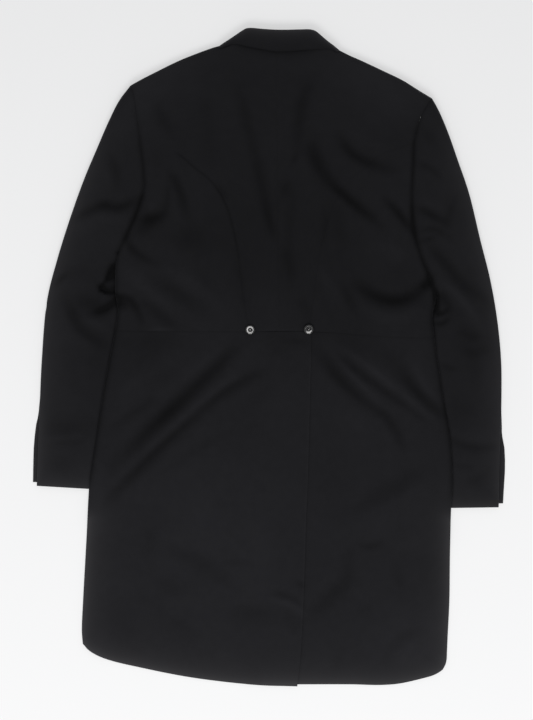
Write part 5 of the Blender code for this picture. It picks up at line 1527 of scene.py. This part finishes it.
def sewn_bars(name, x, y, low, thick, spots, lean):
    """Two bars of thread, each of three strands, between pairs of holes."""
    body = bmesh.new()
    pairs = ((spots[0], spots[1]), (spots[2], spots[3]))
    for start, end in pairs:
        start = Vector((*start, 0.0))
        end = Vector((*end, 0.0))
        run = (end - start).normalized()
        aside = Vector((-run.y, run.x, 0.0))
        for strand in (-1, 0, 1):
            rings = []
            for k in range(STRAND_STEPS + 1):
                share = k / STRAND_STEPS
                arch = math.sin(math.pi * share)
                height = thick * 0.75 + STRAND_ARCH * min(arch * 1.7, 1.0) - STRAND_SUNK
                centre = start.lerp(end, share) + aside * strand * STRANDS_APART * (0.6 + 0.4 * arch)
                centre.z = height
                ring = []
                for turn in range(STRAND_SIDES):
                    angle = 2 * math.pi * turn / STRAND_SIDES
                    up = Vector((0, 0, STRAND_RADIUS * math.sin(angle)))
                    ring.append(body.verts.new(centre + aside * STRAND_RADIUS * math.cos(angle) + up))
                rings.append(ring)
            for lower, upper in zip(rings[:-1], rings[1:]):
                for turn in range(STRAND_SIDES):
                    after = (turn + 1) % STRAND_SIDES
                    body.faces.new((lower[turn], lower[after], upper[after], upper[turn]))
            body.faces.new(rings[0][::-1])
            body.faces.new(rings[-1])
    bmesh.ops.recalc_face_normals(body, faces=body.faces)
    mesh = bpy.data.meshes.new(name)
    body.to_mesh(mesh)
    body.free()
    mesh.transform(button_place(x, y, low, lean))
    mesh.polygons.foreach_set("use_smooth", [True] * len(mesh.polygons))
    mesh.materials.append(THREAD)
    item = add_object(name, mesh)
    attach(item, "root")


for word, turned, lean in (("left", 0.7, -0.01), ("right", 0.85, 0.036)):
    node = "waist_button_" + word
    low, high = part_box(node)
    middle = (low + high) * 500
    thick = WAIST_BUTTON_THICK
    spots = turned_button(node, middle.x, middle.y, low.z * 1000, WAIST_BUTTON_RADIUS, thick, turned, lean)
    sewn_bars("thread_" + node, middle.x, middle.y, low.z * 1000, thick, spots, lean)
thick = FRONT_BUTTON_THICK
spots = turned_button("front_button", *FRONT_BUTTON_AT, thick, FRONT_BUTTON_RADIUS, thick, 0.0, math.pi)
sewn_bars("thread_front_button", *FRONT_BUTTON_AT, thick, thick, spots, math.pi)

# The coat lies on a white table that glows with painted light, a little brighter towards the hem, so that
# the shadows round the coat stay soft. Above it are a large soft light from beyond its hem and a small lamp
# beside the camera, with weak light from all round. It is seen from straight above.

FLOOR_HALF = 40
FLOOR_DROP = 0.0003
GLOW_REACH = 0.65
GLOW_AT_HEM = 0.596
GLOW_AT_COLLAR = 0.496
ROOM_LIGHT = 0.566

floor_mesh = bpy.data.meshes.new("floor")
corners = [(x * FLOOR_HALF, y * FLOOR_HALF, 0) for x, y in ((-1, -1), (1, -1), (1, 1), (-1, 1))]
floor_mesh.from_pydata(corners, [], [(0, 1, 2, 3)])
floor = add_object("floor", floor_mesh)
floor.location.z = -FLOOR_DROP
paper, tree, shader = new_material("glowing_floor", (0.8, 0.8, 0.8))
set_inputs(shader, {"Base Color": (0.34, 0.34, 0.345, 1.0), "Roughness": 0.9, "Specular IOR Level": 0.1})
place = tree.nodes.new("ShaderNodeTexCoord")
apart = tree.nodes.new("ShaderNodeSeparateXYZ")
tree.links.new(place.outputs["Object"], apart.inputs[0])
# Painted light: the table's glow fades from the hem towards the collar.
glow = tree.nodes.new("ShaderNodeMapRange")
set_inputs(glow, {"From Min": -GLOW_REACH, "From Max": GLOW_REACH})
set_inputs(glow, {"To Min": GLOW_AT_HEM, "To Max": GLOW_AT_COLLAR})
tree.links.new(apart.outputs["Y"], glow.inputs["Value"])
tree.links.new(glow.outputs["Result"], shader.inputs["Emission Strength"])
shader.inputs["Emission Color"].default_value = (1.0, 1.0, 1.0, 1.0)
floor_mesh.materials.append(paper)
floor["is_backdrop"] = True

world = bpy.data.worlds.new("room")
bpy.context.scene.world = world
world.use_nodes = True
set_inputs(world.node_tree.nodes["Background"], {"Color": (0.97, 0.985, 1.0, 1.0), "Strength": ROOM_LIGHT})

for name, place, width, height, power, colour in (
    ("window", (-0.1, -2.4, 3.8), 2.6, 1.8, 98.0, (1.0, 0.99, 0.975)),
    ("lamp_over_camera", (0.04, 0.1, 4.95), 0.6, 0.6, 12.0, (1.0, 0.99, 0.98)),
):
    lamp = bpy.data.lights.new(name, "AREA")
    lamp.shape = "RECTANGLE"
    lamp.size = width
    lamp.size_y = height
    lamp.energy = power
    lamp.color = colour
    item = add_object(name, lamp)
    item.location = place
    item.rotation_euler = (Vector((0, 0, 0)) - Vector(place)).to_track_quat("-Z", "Y").to_euler()

PIXEL = 0.00159
PICTURE_TALL = 720 * PIXEL
CAMERA_HEIGHT = 4.6
COAT_LEVEL = 0.004
SENSOR = 36.0
PICTURE_MIDDLE = (-0.00398, -0.0049)

camera_data = bpy.data.cameras.new("from_above")
camera = add_object("from_above", camera_data)
camera_data.sensor_width = SENSOR
camera_data.lens = SENSOR * (CAMERA_HEIGHT - COAT_LEVEL) / PICTURE_TALL
camera.location = (*PICTURE_MIDDLE, CAMERA_HEIGHT)
camera.rotation_euler = (0.0, 0.0, 0.0)
bpy.context.scene.camera = camera
bpy.context.scene.view_settings.view_transform = "Standard"

low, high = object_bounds()
